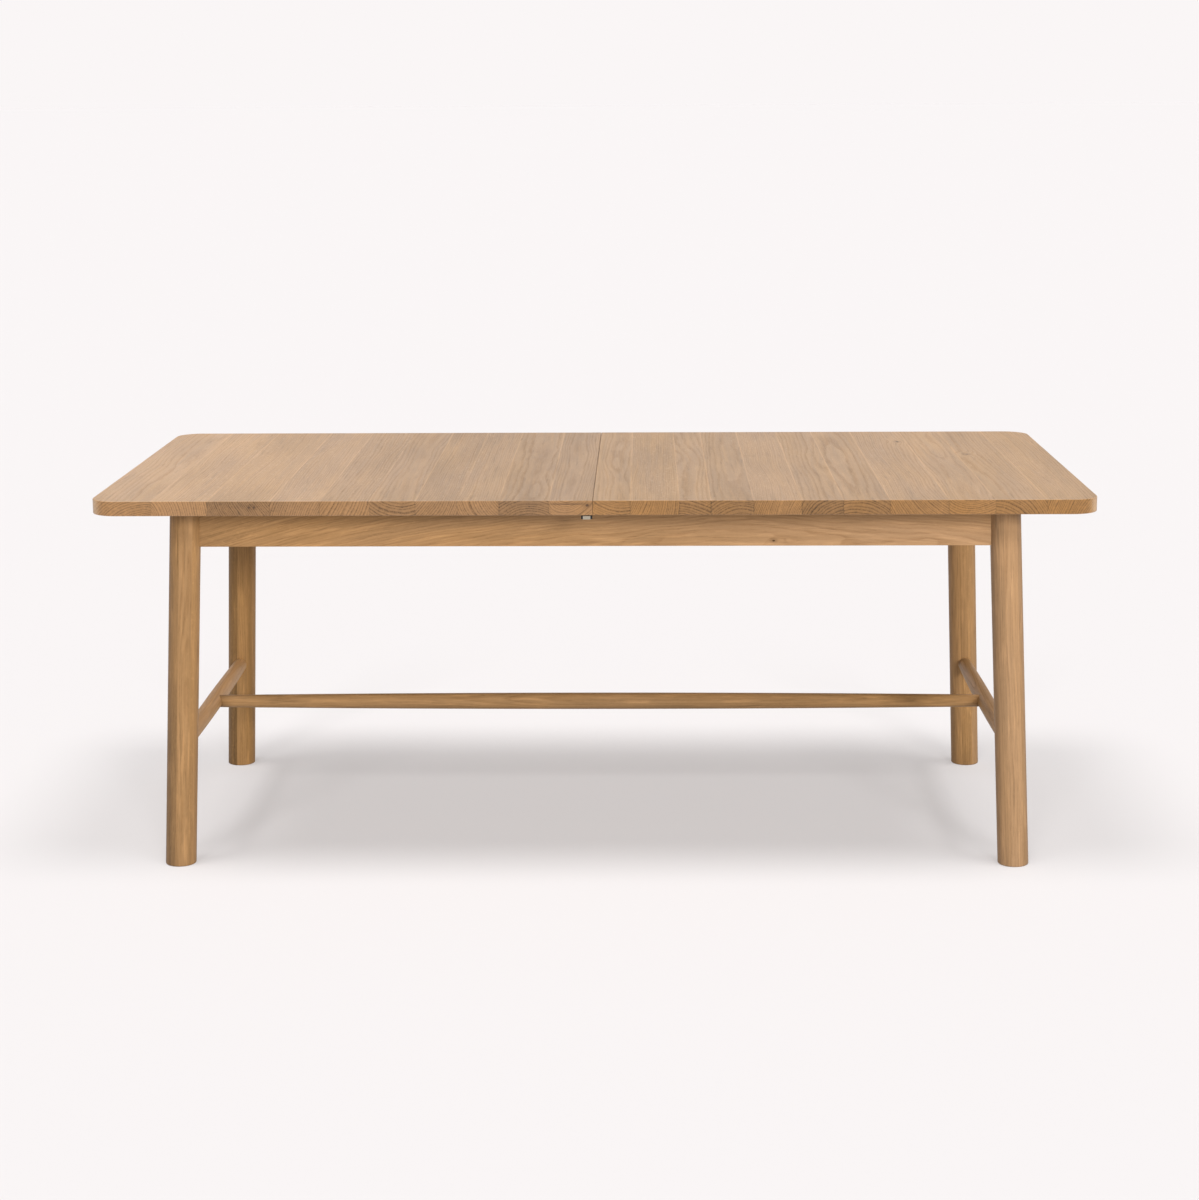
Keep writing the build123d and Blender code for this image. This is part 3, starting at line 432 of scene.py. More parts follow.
    height = g.total(
        g.math("MULTIPLY", pore, -1.0 * wood["pores"]),
        g.math("MULTIPLY", early, -0.22),
        g.around(fibre, 0.35),
        g.math("MULTIPLY", fleck, 0.10),
    )
    bumpy = g.bump(height, PORE_DEPTH, 0.8)
    return g.finish(colour, rough, bumpy, Specular_IOR_Level=wood["shine"])


def metal(name, colour, rough, skin=0.02):
    """Bare or plated metal: mottled tone, uneven gloss, and a cast or rolled skin in mm."""
    g = Graph(name)
    here = g.node("ShaderNodeTexCoord").outputs["Object"]
    broad = g.noise(here, scale=160.0, detail=3.0)
    grainy = g.noise(here, scale=2600.0, detail=2.0)
    scratch = g.noise(g.vector("MULTIPLY", here, (4200.0, 260.0, 900.0)), detail=2.0)
    level = g.total(1.0, g.around(broad, 0.10), g.around(scratch, 0.05))
    gloss = g.total(rough, g.around(broad, 0.14), g.around(scratch, 0.10))
    height = g.total(g.around(grainy, 1.0), g.around(scratch, 0.25))
    tinted = g.vector("SCALE", colour, scale=level)
    return g.finish(tinted, gloss, g.bump(height, skin * MM, 0.7), Metallic=1.0)


def coated(name, colour, rough, skin, mottle=0.12, **sockets):
    """Paint, plastic or rubber with a fine moulded or sprayed skin in mm."""
    g = Graph(name)
    here = g.node("ShaderNodeTexCoord").outputs["Object"]
    broad = g.noise(here, scale=90.0, detail=2.0)
    fine = g.noise(here, scale=1900.0, detail=3.0, roughness=0.6)
    level = g.total(1.0, g.around(broad, mottle), g.around(fine, mottle))
    gloss = g.total(rough, g.around(broad, 0.10), g.around(fine, 0.12))
    tinted = g.vector("SCALE", colour, scale=level)
    return g.finish(tinted, gloss, g.bump(g.around(fine, 1.0), skin * MM, 0.8), **sockets)


def felt_cloth(name):
    """Pressed wool: short fibres lying every way."""
    g = Graph(name)
    here = g.node("ShaderNodeTexCoord").outputs["Object"]
    along = g.noise(g.vector("MULTIPLY", here, (900.0, 3800.0, 3800.0)), detail=3.0)
    across = g.noise(g.vector("MULTIPLY", here, (3800.0, 900.0, 3800.0)), detail=3.0)
    tuft = g.noise(here, scale=420.0, detail=3.0)
    hair = g.math("MAXIMUM", along, across)
    level = g.total(1.0, g.around(hair, 0.9), g.around(tuft, 0.35))
    colour = g.vector("SCALE", (0.150, 0.128, 0.105), scale=level)
    height = g.total(hair, g.math("MULTIPLY", tuft, 0.8))
    bumpy = g.bump(height, 0.25 * MM, 0.9)
    return g.finish(colour, 0.95, bumpy, Sheen_Weight=0.5, Sheen_Roughness=0.6)


# ---------------------------------------------------------------- timber meshes
def new_piece(name, mesh, material, body, slot, *nodes):
    """A piece in place of CAD nodes, riding on their body."""
    piece = bpy.data.objects.new(name, mesh)
    bpy.context.scene.collection.objects.link(piece)
    mesh.materials.clear()
    mesh.materials.append(material)
    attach(piece, body)
    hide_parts(*nodes)
    return piece


def set_boards(mesh, board_of):
    """Writes the grain and board attributes. board_of(face) gives two functions of a point."""
    grain = mesh.attributes.new("grain", "FLOAT_VECTOR", "CORNER")
    board = mesh.attributes.new("board", "FLOAT_VECTOR", "CORNER")
    for face in mesh.polygons:
        place, facts = board_of(face)
        for corner in face.loop_indices:
            point = mesh.vertices[mesh.loops[corner].vertex_index].co
            grain.data[corner].vector = place(point)
            board.data[corner].vector = facts(point)


def rounded_outline(low_x, high_x, half_y, low_round, high_round, cuts):
    """Points round a panel, each with how far it is eased inwards.

    cuts are the joints of its staves.
    """
    radius = CORNER_RADIUS
    points = []

    def arc(centre, start):
        for step in range(CORNER_STEPS + 1):
            angle = start + math.pi / 2 * step / CORNER_STEPS
            outward = Vector((math.cos(angle), math.sin(angle)))
            points.append((centre + outward * radius, outward * -EASING))

    def corner(x, y, ease_x, ease_y):
        points.append((Vector((x, y)), Vector((ease_x, ease_y))))

    if low_round:
        arc(Vector((low_x + radius, -half_y + radius)), math.pi)
    else:
        corner(low_x, -half_y, SEAM_EASING, EASING)
    for x in cuts:
        corner(x, -half_y, 0.0, EASING)
    if high_round:
        arc(Vector((high_x - radius, -half_y + radius)), -math.pi / 2)
        arc(Vector((high_x - radius, half_y - radius)), 0.0)
    else:
        corner(high_x, -half_y, -SEAM_EASING, EASING)
        corner(high_x, half_y, -SEAM_EASING, -EASING)
    for x in reversed(cuts):
        corner(x, half_y, 0.0, -EASING)
    if low_round:
        arc(Vector((low_x + radius, half_y - radius)), math.pi / 2)
    else:
        corner(low_x, half_y, SEAM_EASING, -EASING)
    return points


def panel_mesh(name, outline, low_z, high_z, cuts):
    """A glued-up panel with eased edges. Each stave has its own faces above and below."""
    bm = bmesh.new()
    levels = []
    for step in range(EASING_STEPS + 1):
        angle = math.pi / 2 * step / EASING_STEPS
        levels.append((1 - math.sin(angle), low_z + EASING * (1 - math.cos(angle))))
    levels += [(inward, low_z + high_z - z) for inward, z in reversed(levels)]
    rings = []
    for inward, z in levels:
        rings.append([bm.verts.new((*(point + ease * inward), z)) for point, ease in outline])
    count = len(outline)
    for lower, upper in zip(rings, rings[1:]):
        for i in range(count):
            j = (i + 1) % count
            bm.faces.new((lower[i], lower[j], upper[j], upper[i]))
    edges = [-math.inf, *cuts, math.inf]
    for low, high in zip(edges, edges[1:]):
        inside = [i for i in range(count) if low - CLOSE <= outline[i][0].x <= high + CLOSE]
        bm.faces.new([rings[-1][i] for i in inside])
        bm.faces.new([rings[0][i] for i in reversed(inside)])
    bmesh.ops.recalc_face_normals(bm, faces=bm.faces)
    mesh = bpy.data.meshes.new(name)
    bm.to_mesh(mesh)
    bm.free()
    return mesh


def cut_sockets(mesh, places, direction):
    """Round blind holes for dowels, along direction. Each place is the centre of a mouth."""
    direction = Vector(direction)
    turn = Vector((0, 0, 1)).rotation_difference(direction).to_matrix().to_4x4()
    bm = bmesh.new()
    for place in places:
        middle = Vector(place) + direction * (SOCKET_DEPTH / 2 - SOCKET_OVERSHOOT / 2)
        bmesh.ops.create_cone(
            bm, cap_ends=True, segments=SOCKET_STEPS, radius1=SOCKET_RADIUS, radius2=SOCKET_RADIUS,
            depth=SOCKET_DEPTH + SOCKET_OVERSHOOT, matrix=Matrix.Translation(middle) @ turn,
        )
    cutter_mesh = bpy.data.meshes.new("cutter")
    bm.to_mesh(cutter_mesh)
    bm.free()
    cutter = bpy.data.objects.new("cutter", cutter_mesh)
    blank = bpy.data.objects.new("blank", mesh)
    for thing in (cutter, blank):
        bpy.context.scene.collection.objects.link(thing)
    cut = blank.modifiers.new("sockets", "BOOLEAN")
    cut.operation = "DIFFERENCE"
    cut.solver = "EXACT"
    cut.object = cutter
    bpy.context.view_layer.update()
    depsgraph = bpy.context.evaluated_depsgraph_get()
    result = bpy.data.meshes.new_from_object(blank.evaluated_get(depsgraph))
    for thing in (cutter, blank):
        bpy.data.objects.remove(thing)
    bpy.data.meshes.remove(cutter_mesh)
    return result


def soften(piece):
    """Smooth eased edges between flat faces."""
    for face in piece.data.polygons:
        face.use_smooth = True
    piece.data.set_sharp_from_angle(angle=SHARP_ANGLE)
    weighted = piece.modifiers.new("face_weights", "WEIGHTED_NORMAL")
    weighted.keep_sharp = True
    weighted.weight = FLAT_FACE_WEIGHT


def rod_mesh(name, levels, cuts=()):
    """A round timber through circles (centre, radius, across, up), with its end faces split.

    Each cut is a glue line, as far from the centre along across as this share of the radius.
    """
    angles = [math.tau * step / ROD_STEPS for step in range(ROD_STEPS)]
    for cut in cuts:
        for wanted in (math.acos(cut), math.tau - math.acos(cut)):
            nearest = min(range(ROD_STEPS), key=lambda i: abs(angles[i] - wanted))
            angles[nearest] = wanted
    bm = bmesh.new()
    rings = []
    for centre, radius, across, up in levels:
        ring = []
        for angle in angles:
            outward = across * math.cos(angle) + up * math.sin(angle)
            ring.append(bm.verts.new(centre + outward * radius))
        rings.append(ring)
    for lower, upper in zip(rings, rings[1:]):
        for i in range(ROD_STEPS):
            j = (i + 1) % ROD_STEPS
            bm.faces.new((lower[i], lower[j], upper[j], upper[i])).smooth = True
    edges = [-math.inf, *cuts, math.inf]
    shares = [math.cos(angle) for angle in angles]
    for low, high in zip(edges, edges[1:]):
        inside = [i for i in range(ROD_STEPS) if low - CLOSE <= shares[i] <= high + CLOSE]
        bm.faces.new([rings[-1][i] for i in inside])
        bm.faces.new([rings[0][i] for i in reversed(inside)])
    bmesh.ops.recalc_face_normals(bm, faces=bm.faces)
    mesh = bpy.data.meshes.new(name)
    bm.to_mesh(mesh)
    bm.free()
    return mesh


# ---------------------------------------------------------------- materials
oak_top = timber("oak_top", OAK_TOP, "Y", glued=True, marks=(
    ((0.648, 0.312, 0.740), (4.5 * MM, 8 * MM, 4 * MM), 1.2),
    ((0.775, 0.118, 0.740), (4.0 * MM, 7 * MM, 4 * MM), 1.2),
    ((-0.646, -0.475, 0.728), (3.3 * MM, 8 * MM, 2.7 * MM), 0.3),
    ((-0.636, -0.475, 0.7285), (2.8 * MM, 8 * MM, 2.9 * MM), 0.3),
    ((-0.010, -0.475, 0.731), (4.5 * MM, 8 * MM, 3.3 * MM), 0.3),
    ((-0.044, -0.475, 0.7335), (40 * MM, 6 * MM, 0.8 * MM), 0.0),
))
oak_leaf = timber("oak_leaf", OAK_TOP, "X", glued=True)
oak_leg = timber("oak_leg", OAK_TURNED, "Z")
oak_rail_x = timber("oak_rail_x", OAK_TURNED, "X")
oak_rail_y = timber("oak_rail_y", OAK_TURNED, "Y")
oak_apron_front = timber(
    "oak_apron_front", OAK, "X", pith=(-0.285, 0.628), shift=3.1,
    tone=0.80, warmth=-0.8, drift=(1.9, -1.2), sweep=(0.085, -0.27),
    marks=(((0.346, -0.353, 0.641), (4.0 * MM, 5 * MM, 2.2 * MM), 0.8),),
)
oak_apron_rear = timber(
    "oak_apron_rear", OAK, "X", pith=(0.290, 0.635), shift=8.3, tone=0.3, sweep=(-0.04, 0.12),
)
oak_apron_left = timber(
    "oak_apron_left", OAK, "Y", pith=(-0.725, 0.635), shift=5.2, tone=0.1, sweep=(0.05, 0.1),
)
oak_apron_right = timber(
    "oak_apron_right", OAK, "Y", pith=(0.722, 0.640), shift=1.9, tone=0.2, sweep=(-0.03, -0.1),
)
beech_x = timber("beech_x", BEECH, "X", pith=(0.24, 0.64), shift=2.2)
beech_y = timber("beech_y", BEECH, "Y", pith=(0.17, 0.59), shift=4.7)
beech_z = timber("beech_z", BEECH, "Z", pith=(0.66, 0.24), shift=6.1)
cast_metal = metal("cast_metal", (0.58, 0.53, 0.43), 0.60, skin=0.07)
zinc_steel = metal("zinc_steel", (0.60, 0.61, 0.62), 0.34)
black_steel = coated("black_steel", (0.022, 0.022, 0.024), 0.42, 0.03)
black_screw = coated("black_screw", (0.030, 0.029, 0.028), 0.36, 0.02)
black_plastic = coated("black_plastic", (0.012, 0.012, 0.012), 0.55, 0.03, Specular_IOR_Level=0.25)
nylon = coated("nylon", (0.50, 0.485, 0.45), 0.50, 0.02, mottle=0.05)
rubber = coated("rubber", (0.030, 0.030, 0.030), 0.80, 0.04)
felt = felt_cloth("felt")

# ---------------------------------------------------------------- tabletop and leaf
dice = random.Random(20)


def stave(start, pith_across, pith_down, width, face, end):
    """One stave from start to the next one's start, with its pith's place from its own middle.

    Lengths are in mm, and width is how wide its rings are. face and end are the (tone, warmth)
    of its two flat faces and of its end grain.
    """
    return {
        "start": start * MM, "pith": (pith_across * MM, pith_down * MM),
        "shift": dice.uniform(1.0, 40.0), "width": width, "face": face, "end": end,
    }


LEFT_STAVES = (
    stave(-950, 44, -104, 0.95, (1.2, -0.1), (1.1, 0.2)),
    stave(-831, -118, -34, 1.00, (1.0, 0.1), (1.6, -0.5)),
    stave(-725, 112, 52, 0.80, (0.6, 0.3), (-1.1, -0.5)),
    stave(-607, 120, -40, 0.90, (0.6, -0.3), (-0.3, -0.7)),
    stave(-513, -104, 46, 1.30, (-0.1, 0.0), (0.8, -0.1)),
    stave(-419, 8, 48, 1.20, (-0.7, -0.2), (-0.7, -0.3)),
    stave(-333, -116, 60, 0.90, (-1.2, 0.2), (0.1, -0.6)),
    stave(-254, 82, 58, 0.95, (-0.8, 0.0), (0.4, -0.5)),
    stave(-176, 6, -62, 1.10, (-1.1, 0.1), (-1.5, -0.8)),
    stave(-82, -4, 44, 0.85, (-1.2, -0.3), (0.9, -0.2)),
)
RIGHT_STAVES = (
    stave(0.3, 14, 60, 0.95, (-0.8, 0.4), (-0.4, 1.6)),
    stave(71, -110, 30, 0.80, (-0.8, 0.5), (-0.6, 2.0)),
    stave(162, -34, -90, 1.05, (-1.1, 0.3), (-1.9, 1.5)),
    stave(222, 12, -52, 1.05, (-1.0, 0.1), (-1.8, 1.1)),
    stave(302, 110, -40, 0.75, (-0.2, -0.2), (-0.3, 1.5)),
    stave(392, 44, -62, 1.15, (-0.4, 0.1), (-2.1, 1.3)),
    stave(470, -20, -70, 1.15, (-0.2, 0.1), (-1.0, 1.5)),
    stave(557, 100, 80, 0.90, (0.1, -0.1), (0.1, 1.7)),
    stave(667, 6, 66, 0.90, (0.1, 0.1), (0.2, 1.9)),
    stave(754, -60, -86, 0.95, (0.0, 0.3), (-0.2, 2.1)),
    stave(850, 98, -56, 0.90, (0.1, 0.5), (0.1, 2.3)),
)
LEAF_STAVES = (
    stave(-250, 40, -82, 0.95, (0.2, 0.0), (0.4, 0.3)),
    stave(-156, -100, -48, 1.00, (-0.1, 0.2), (-0.8, 0.0)),
    stave(-58, 14, 70, 1.10, (0.1, -0.2), (0.5, 0.4)),
    stave(44, 96, -50, 0.95, (-0.2, 0.1), (-0.6, 0.2)),
    stave(148, -6, -60, 1.00, (0.1, 0.1), (0.8, 0.0)),
)


def staves_place(staves, last, mid_z, across, along):
    """A function from a face to its stave's place in the log and its facts."""
    ends = [s["start"] for s in staves[1:]] + [last]

    def board_of(face):
        index = next((i for i, end in enumerate(ends) if face.center[across] < end), len(ends) - 1)
        chosen = staves[index]
        middle = (chosen["start"] + ends[index]) / 2
        pith_x, pith_z = chosen["pith"]
        tone, warmth = chosen["end" if abs(face.normal[along]) > END_FACE else "face"]

        def place(point):
            return (
                point[across] - middle - pith_x,
                point.z - mid_z - pith_z,
                point[along] + chosen["shift"],
            )

        return place, lambda point: (tone, warmth, chosen["width"])

    return board_of


def set_joints(mesh, staves, last, across):
    """Writes how far each point is from the glued joints on both sides of its stave."""
    starts = [s["start"] for s in staves] + [last]
    joint = mesh.attributes.new("joint", "FLOAT_VECTOR", "CORNER")
    for face in mesh.polygons:
        index = sum(face.center[across] >= start for start in starts[1:-1])
        for corner in face.loop_indices:
            along = mesh.vertices[mesh.loops[corner].vertex_index].co[across]
            before = along - starts[index] if index > 0 else NO_JOINT
            after = starts[index + 1] - along if index < len(staves) - 1 else NO_JOINT
            joint.data[corner].vector = (before, after, 0.0)


def make_panel(name, node, body, staves, low_round, high_round, sockets=None):
    """A tabletop half in place of its CAD node. sockets are the holes' places and direction."""
    low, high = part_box(node)
    cuts = [s["start"] for s in staves[1:]]
    outline = rounded_outline(low.x, high.x, high.y, low_round, high_round, cuts)
    mesh = panel_mesh(name, outline, low.z, high.z, cuts)
    if sockets:
        mesh = cut_sockets(mesh, *sockets)
    set_boards(mesh, staves_place(staves, high.x, (low.z + high.z) / 2, 0, 1))
    set_joints(mesh, staves, high.x, 0)
    soften(new_piece(name, mesh, oak_top, body, "oak_top", node))


dowel_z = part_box("top_right")[1].z - DOWEL_DEPTH
make_panel("top_left_panel", "top_left", "top_left", LEFT_STAVES, True, False)
make_panel(
    "top_right_panel", "top_right", "top_right", RIGHT_STAVES, False, True,
    ([(SEAM, y, dowel_z) for y in DOWEL_PLACES], (1, 0, 0)),
)

leaf_low, leaf_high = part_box("extension_leaf")
leaf_cuts = [s["start"] for s in LEAF_STAVES[1:]]
# the stored leaf is a quarter turn round, so its panel is built along Y and swapped over
leaf_outline = rounded_outline(leaf_low.y, leaf_high.y, leaf_high.x, False, False, leaf_cuts)
leaf_mesh = panel_mesh("leaf_panel", leaf_outline, leaf_low.z, leaf_high.z, leaf_cuts)
leaf_mesh.transform(Matrix(((0, 1, 0, 0), (1, 0, 0, 0), (0, 0, 1, 0), (0, 0, 0, 1))))
leaf_mesh.flip_normals()
leaf_dowel_z = leaf_low.z + DOWEL_DEPTH
leaf_mouths = [(x, leaf_low.y, leaf_dowel_z) for x in DOWEL_PLACES]
leaf_mesh = cut_sockets(leaf_mesh, leaf_mouths, (0, 1, 0))
leaf_mid_z = (leaf_low.z + leaf_high.z) / 2
set_boards(leaf_mesh, staves_place(LEAF_STAVES, leaf_high.y, leaf_mid_z, 1, 0))
set_joints(leaf_mesh, LEAF_STAVES, leaf_high.y, 1)
soften(new_piece("leaf_panel", leaf_mesh, oak_leaf, "leaf", "oak_top", "extension_leaf"))


# ---------------------------------------------------------------- legs and stretchers
def leg_centre(side_x, side_y, z):
    spread = LEG_SPLAY * (UNDERSIDE - z)
    return Vector((side_x * (LEG_TOP[0] + spread), side_y * (LEG_TOP[1] + spread), z))


def leg_levels(side_x, side_y):
    """Level circles up a leg, with a rounded foot and an eased top."""
    heights = []
    for step in range(FOOT_STEPS + 1):
        angle = math.pi / 2 * step / FOOT_STEPS
        above, inward = 1 - math.cos(angle), 1 - math.sin(angle)
        heights.append((FOOT_ROUNDING * above, FOOT_ROUNDING * inward))
    heights += [(z * MM, 0.0) for z in LEG_LEVEL_HEIGHTS]
    heights += [(FRAME_TOP - LEG_TOP_EASING, 0.0), (FRAME_TOP, LEG_TOP_EASING)]
    across, up = Vector((1, 0, 0)), Vector((0, 1, 0))
    return [
        (leg_centre(side_x, side_y, z), LEG_RADIUS - inward, across, up) for z, inward in heights
    ]


def lamination_place(centre_of, cuts, piths, shifts, facts, drift):
    """A function from a face to its lamination's place in the log and its facts.

    The place is measured from the leg's own leaning axis. The tone in the facts rises with height
    by drift: painted light, lighter towards the top of the leg.
    """
    def board_of(face):
        middle = centre_of(face.center.z)
        index = sum((face.center.x - middle.x) > cut * LEG_RADIUS for cut in cuts)
        pith = piths[index]
        tone, warmth, width = facts[index]

        def place(point):
            axis = centre_of(point.z)
            return point.x - axis.x - pith[0], point.y - axis.y - pith[1], point.z + shifts[index]

        # painted light: the tone rises with height, so the leg is lighter towards its top
        return place, lambda point: (tone + drift * (point.z - FRAME_TOP), warmth, width)

    return board_of


def make_leg(side_x, side_y, cuts, piths, steps, leg_tone, leg_warmth, drift):
    """A leg of three laminations side by side. Each has its own pith and step of tone.

    drift is the tone that the leg gains along a metre upwards: painted light that makes the leg
    lighter towards its top and darker towards the floor, to offset the shade under the tabletop.
    """
    corner = ("front_" if side_y < 0 else "rear_") + ("left" if side_x < 0 else "right")
    mesh = rod_mesh(f"leg_{corner}_timber", leg_levels(side_x, side_y), cuts)
    shifts = [dice.uniform(1.0, 40.0) for pith in piths]
    facts = []
    for step in steps:
        tone = leg_tone + step + dice.uniform(-0.2, 0.2)
        facts.append((tone, leg_warmth + dice.uniform(-0.4, 0.4), dice.uniform(0.7, 1.0)))
    centre_at = partial(leg_centre, side_x, side_y)
    set_boards(mesh, lamination_place(centre_at, cuts, piths, shifts, facts, drift))
    new_piece(f"leg_{corner}_timber", mesh, oak_leg, "frame", "oak_frame", f"leg_{corner}")


# each drift below is painted light: the leg is lighter towards its top, against the shade under
# the tabletop
make_leg(
    -1, -1, cuts=(-0.20, 0.60), piths=((0.055, -0.030), (-0.040, 0.075), (0.070, 0.020)),
    steps=(-0.7, 1.5, 1.2), leg_tone=-0.2, leg_warmth=0.3, drift=3.7,
)
make_leg(
    1, -1, cuts=(-0.25, 0.62), piths=((-0.060, -0.035), (0.045, 0.060), (-0.035, 0.055)),
    steps=(-0.1, 0.5, -1.2), leg_tone=2.3, leg_warmth=-1.4, drift=2.8,
)
make_leg(
    -1, 1, cuts=(-0.20, 0.50), piths=((0.045, -0.060), (-0.070, 0.020), (0.050, 0.045)),
    steps=(-1.4, 1.3, 0.7), leg_tone=0.2, leg_warmth=1.6, drift=4.4,
)
make_leg(
    1, 1, cuts=(-0.28, 0.47), piths=((-0.050, -0.045), (0.080, 0.010), (-0.030, 0.070)),
    steps=(0.8, -0.3, 0.2), leg_tone=2.3, leg_warmth=0.4, drift=5.3,
)


def stretcher_levels(middle, reach, end_radius, sideways):
    """Circles along a turned rail that swells towards its middle on one arc.

    reach is the vector from the rail's middle to its far end.
    """
    half = reach.length
    drop = STRETCHER_MIDDLE - end_radius
    bow = (half * half + drop * drop) / (2 * drop)
    levels = []
    for step in range(STRETCHER_STEPS + 1):
        offset = half * (2 * step / STRETCHER_STEPS - 1)
        radius = STRETCHER_MIDDLE - (bow - math.sqrt(bow * bow - offset * offset))
        centre = middle + reach.normalized() * offset
        levels.append((centre, radius, sideways, Vector((0, 0, 1))))
    return levels


def make_stretcher(node, along, end_radius, material, pith, tone, warmth, width, lift=0.0):
    """A turned rail in place of its CAD node, from leg to leg or from rail to rail.

    lift is the tone gained along a metre, from the middle towards each end.
    """
    low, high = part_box(node)
    middle = (low + high) / 2
    reach = Vector((0, 0, 0))
    reach[along] = (high - low)[along] / 2
    sideways = Vector((0, 1, 0)) if along == 0 else Vector((-1, 0, 0))
    mesh = rod_mesh(f"{node}_timber", stretcher_levels(middle, reach, end_radius, sideways))
    shift = dice.uniform(1.0, 40.0)
    across = 1 - along

    def place(point):
        return (
            point[across] - middle[across] - pith[0],
            point.z - middle.z - pith[1],
            point[along] + shift,
        )

    def facts_at(point):
        return tone + lift * abs(point[along] - middle[along]), warmth, width

    set_boards(mesh, lambda face: (place, facts_at))
    new_piece(f"{node}_timber", mesh, material, "frame", "oak_frame", node)


make_stretcher(
    "stretcher_left", 1, SIDE_STRETCHER_END, oak_rail_y, (0.050, 0.035),
    tone=4.0, warmth=0.2, width=0.8,
)
make_stretcher(
    "stretcher_right", 1, SIDE_STRETCHER_END, oak_rail_y, (-0.045, 0.050),
    tone=0.6, warmth=0.1, width=0.8,
)
make_stretcher(
    "stretcher_long", 0, LONG_STRETCHER_END, oak_rail_x, (0.058, -0.030),
    tone=-2.3, warmth=0.1, width=0.85, lift=2.6,
)

# ---------------------------------------------------------------- finishes on the CAD pieces
# the start of a node's name and its material; the longest start that fits a node counts
FINISHES = {
    "apron_front": oak_apron_front,
    "apron_rear": oak_apron_rear,
    "apron_left": oak_apron_left,
    "apron_right": oak_apron_right,
    "guide_rail": beech_x,
    "runner_left": beech_x,
    "runner_right": beech_x,
    "leaf_bearer": beech_y,
    "leaf_guides": beech_x,
    "corner_block": beech_z,
    "seam_dowels": beech_x,
    "leaf_dowels": beech_y,
    "glide_strips": nylon,
    "stop_pads": rubber,
    "bearer_felts": felt,
    "guide_rail_screws": zinc_steel,
    "runner_screws": zinc_steel,
    "bolt_": zinc_steel,
    "hanger_bolts": zinc_steel,
    "seam_catch_pivots": zinc_steel,
    "leaf_catch_pivots": zinc_steel,
    "seam_catch_lever": cast_metal,
    "leaf_catch_lever": cast_metal,
    "seam_catch_grips": black_plastic,
    "leaf_catch_grips": black_plastic,
    "seam_catch_plate": black_steel,
    "leaf_catch_plate": black_steel,
    "seam_keepers": black_steel,
    "leaf_keepers": black_steel,
    "seam_catch_screws": black_screw,
    "leaf_catch_screws": black_screw,
    "seam_keeper_screws": black_screw,
    "leaf_keeper_screws": black_screw,
}
for name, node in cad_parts.items():
    if node.hide_render:
        continue
    prefixes = [prefix for prefix in FINISHES if name.startswith(prefix)]
    chosen = FINISHES[max(prefixes, key=len)]
    for place in node.material_slots:
        place.material = chosen

# the CAD pieces whose edges are eased in the looks, and by how much
EASED_PIECES = {
    "leaf_bearer_left": 1.2 * MM,
    "leaf_bearer_right": 1.2 * MM,
    "leaf_guides": 0.8 * MM,
    "bearer_felts": 0.3 * MM,
}
for name, width in EASED_PIECES.items():
    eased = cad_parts[name].modifiers.new("eased", "BEVEL")
    eased.width = width
    eased.segments = 3
    eased.limit_method = "ANGLE"
    eased.harden_normals = True

# ---------------------------------------------------------------- floor, light and camera
scene = bpy.context.scene
PAPER = (0.956, 0.922, 0.922)
FLOOR_REACH = 400.0
FLOOR_GREY = (0.40, 0.398, 0.400)
FLOOR_GLOW = 0.40
SKY_GREY = (0.22, 0.213, 0.213)
SKY_FADE = (0.08, 0.55)        # the slopes between which paper white turns to the sky's grey
LAMP_COLOUR = (1.0, 0.97, 0.965)


def make_floor():
    """A pale studio floor that runs to the horizon."""
    bm = bmesh.new()
    bmesh.ops.create_grid(bm, x_segments=8, y_segments=8, size=FLOOR_REACH)
    mesh = bpy.data.meshes.new("floor")
    bm.to_mesh(mesh)
    bm.free()
    floor = bpy.data.objects.new("floor", mesh)
    scene.collection.objects.link(floor)
    mesh.materials.append(Graph("studio_floor").finish(
        FLOOR_GREY, 1.0, Specular_IOR_Level=0.0,
        Emission_Color=opaque(PAPER), Emission_Strength=FLOOR_GLOW,
    ))
    floor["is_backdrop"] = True
    return floor


floor = make_floor()

world = bpy.data.worlds.new("studio")
scene.world = world
world.use_nodes = True
tree = world.node_tree
tree.nodes.clear()
direction = tree.nodes.new("ShaderNodeTexCoord")
parts = tree.nodes.new("ShaderNodeSeparateXYZ")
fade = tree.nodes.new("ShaderNodeMapRange")
fade.interpolation_type = "SMOOTHSTEP"
glow = tree.nodes.new("ShaderNodeMix")
glow.data_type = "RGBA"
background = tree.nodes.new("ShaderNodeBackground")
sky = tree.nodes.new("ShaderNodeOutputWorld")
tree.links.new(direction.outputs["Generated"], parts.inputs[0])
tree.links.new(parts.outputs[2], fade.inputs["Value"])
fade.inputs["From Min"].default_value = SKY_FADE[0]
fade.inputs["From Max"].default_value = SKY_FADE[1]
tree.links.new(fade.outputs[0], glow.inputs[0])
for index, value in zip(MIX_COLOURS, (PAPER, SKY_GREY)):
    glow.inputs[index].default_value = opaque(value)
tree.links.new(glow.outputs[2], background.inputs["Color"])
tree.links.new(background.outputs[0], sky.inputs["Surface"])


def gather(name, things):
    """A collection that only says which things a lamp lights, or which cast its shadows."""
    group = bpy.data.collections.new(name)
    for thing in things:
        group.objects.link(thing)
    return group


def sun(name, travel, strength, spread, lights, shadows_from=None, mirrored=True):
    """A distant soft lamp whose rays travel along a direction and reach one group of things.

    spread is its width in degrees. A lamp that isn't mirrored lights things but doesn't show as a
    glare on them. With shadows_from, only those things cast its shadows.
    """
    light = bpy.data.lights.new(name, "SUN")
    light.energy = strength
    light.angle = math.radians(spread)
    light.color = LAMP_COLOUR
    lamp = bpy.data.objects.new(name, light)
    lamp.rotation_mode = "QUATERNION"
    lamp.rotation_quaternion = Vector(travel).to_track_quat("-Z", "Y")
    scene.collection.objects.link(lamp)
    lamp.visible_glossy = mirrored
    lamp.light_linking.receiver_collection = lights
    if shadows_from:
        lamp.light_linking.blocker_collection = shadows_from


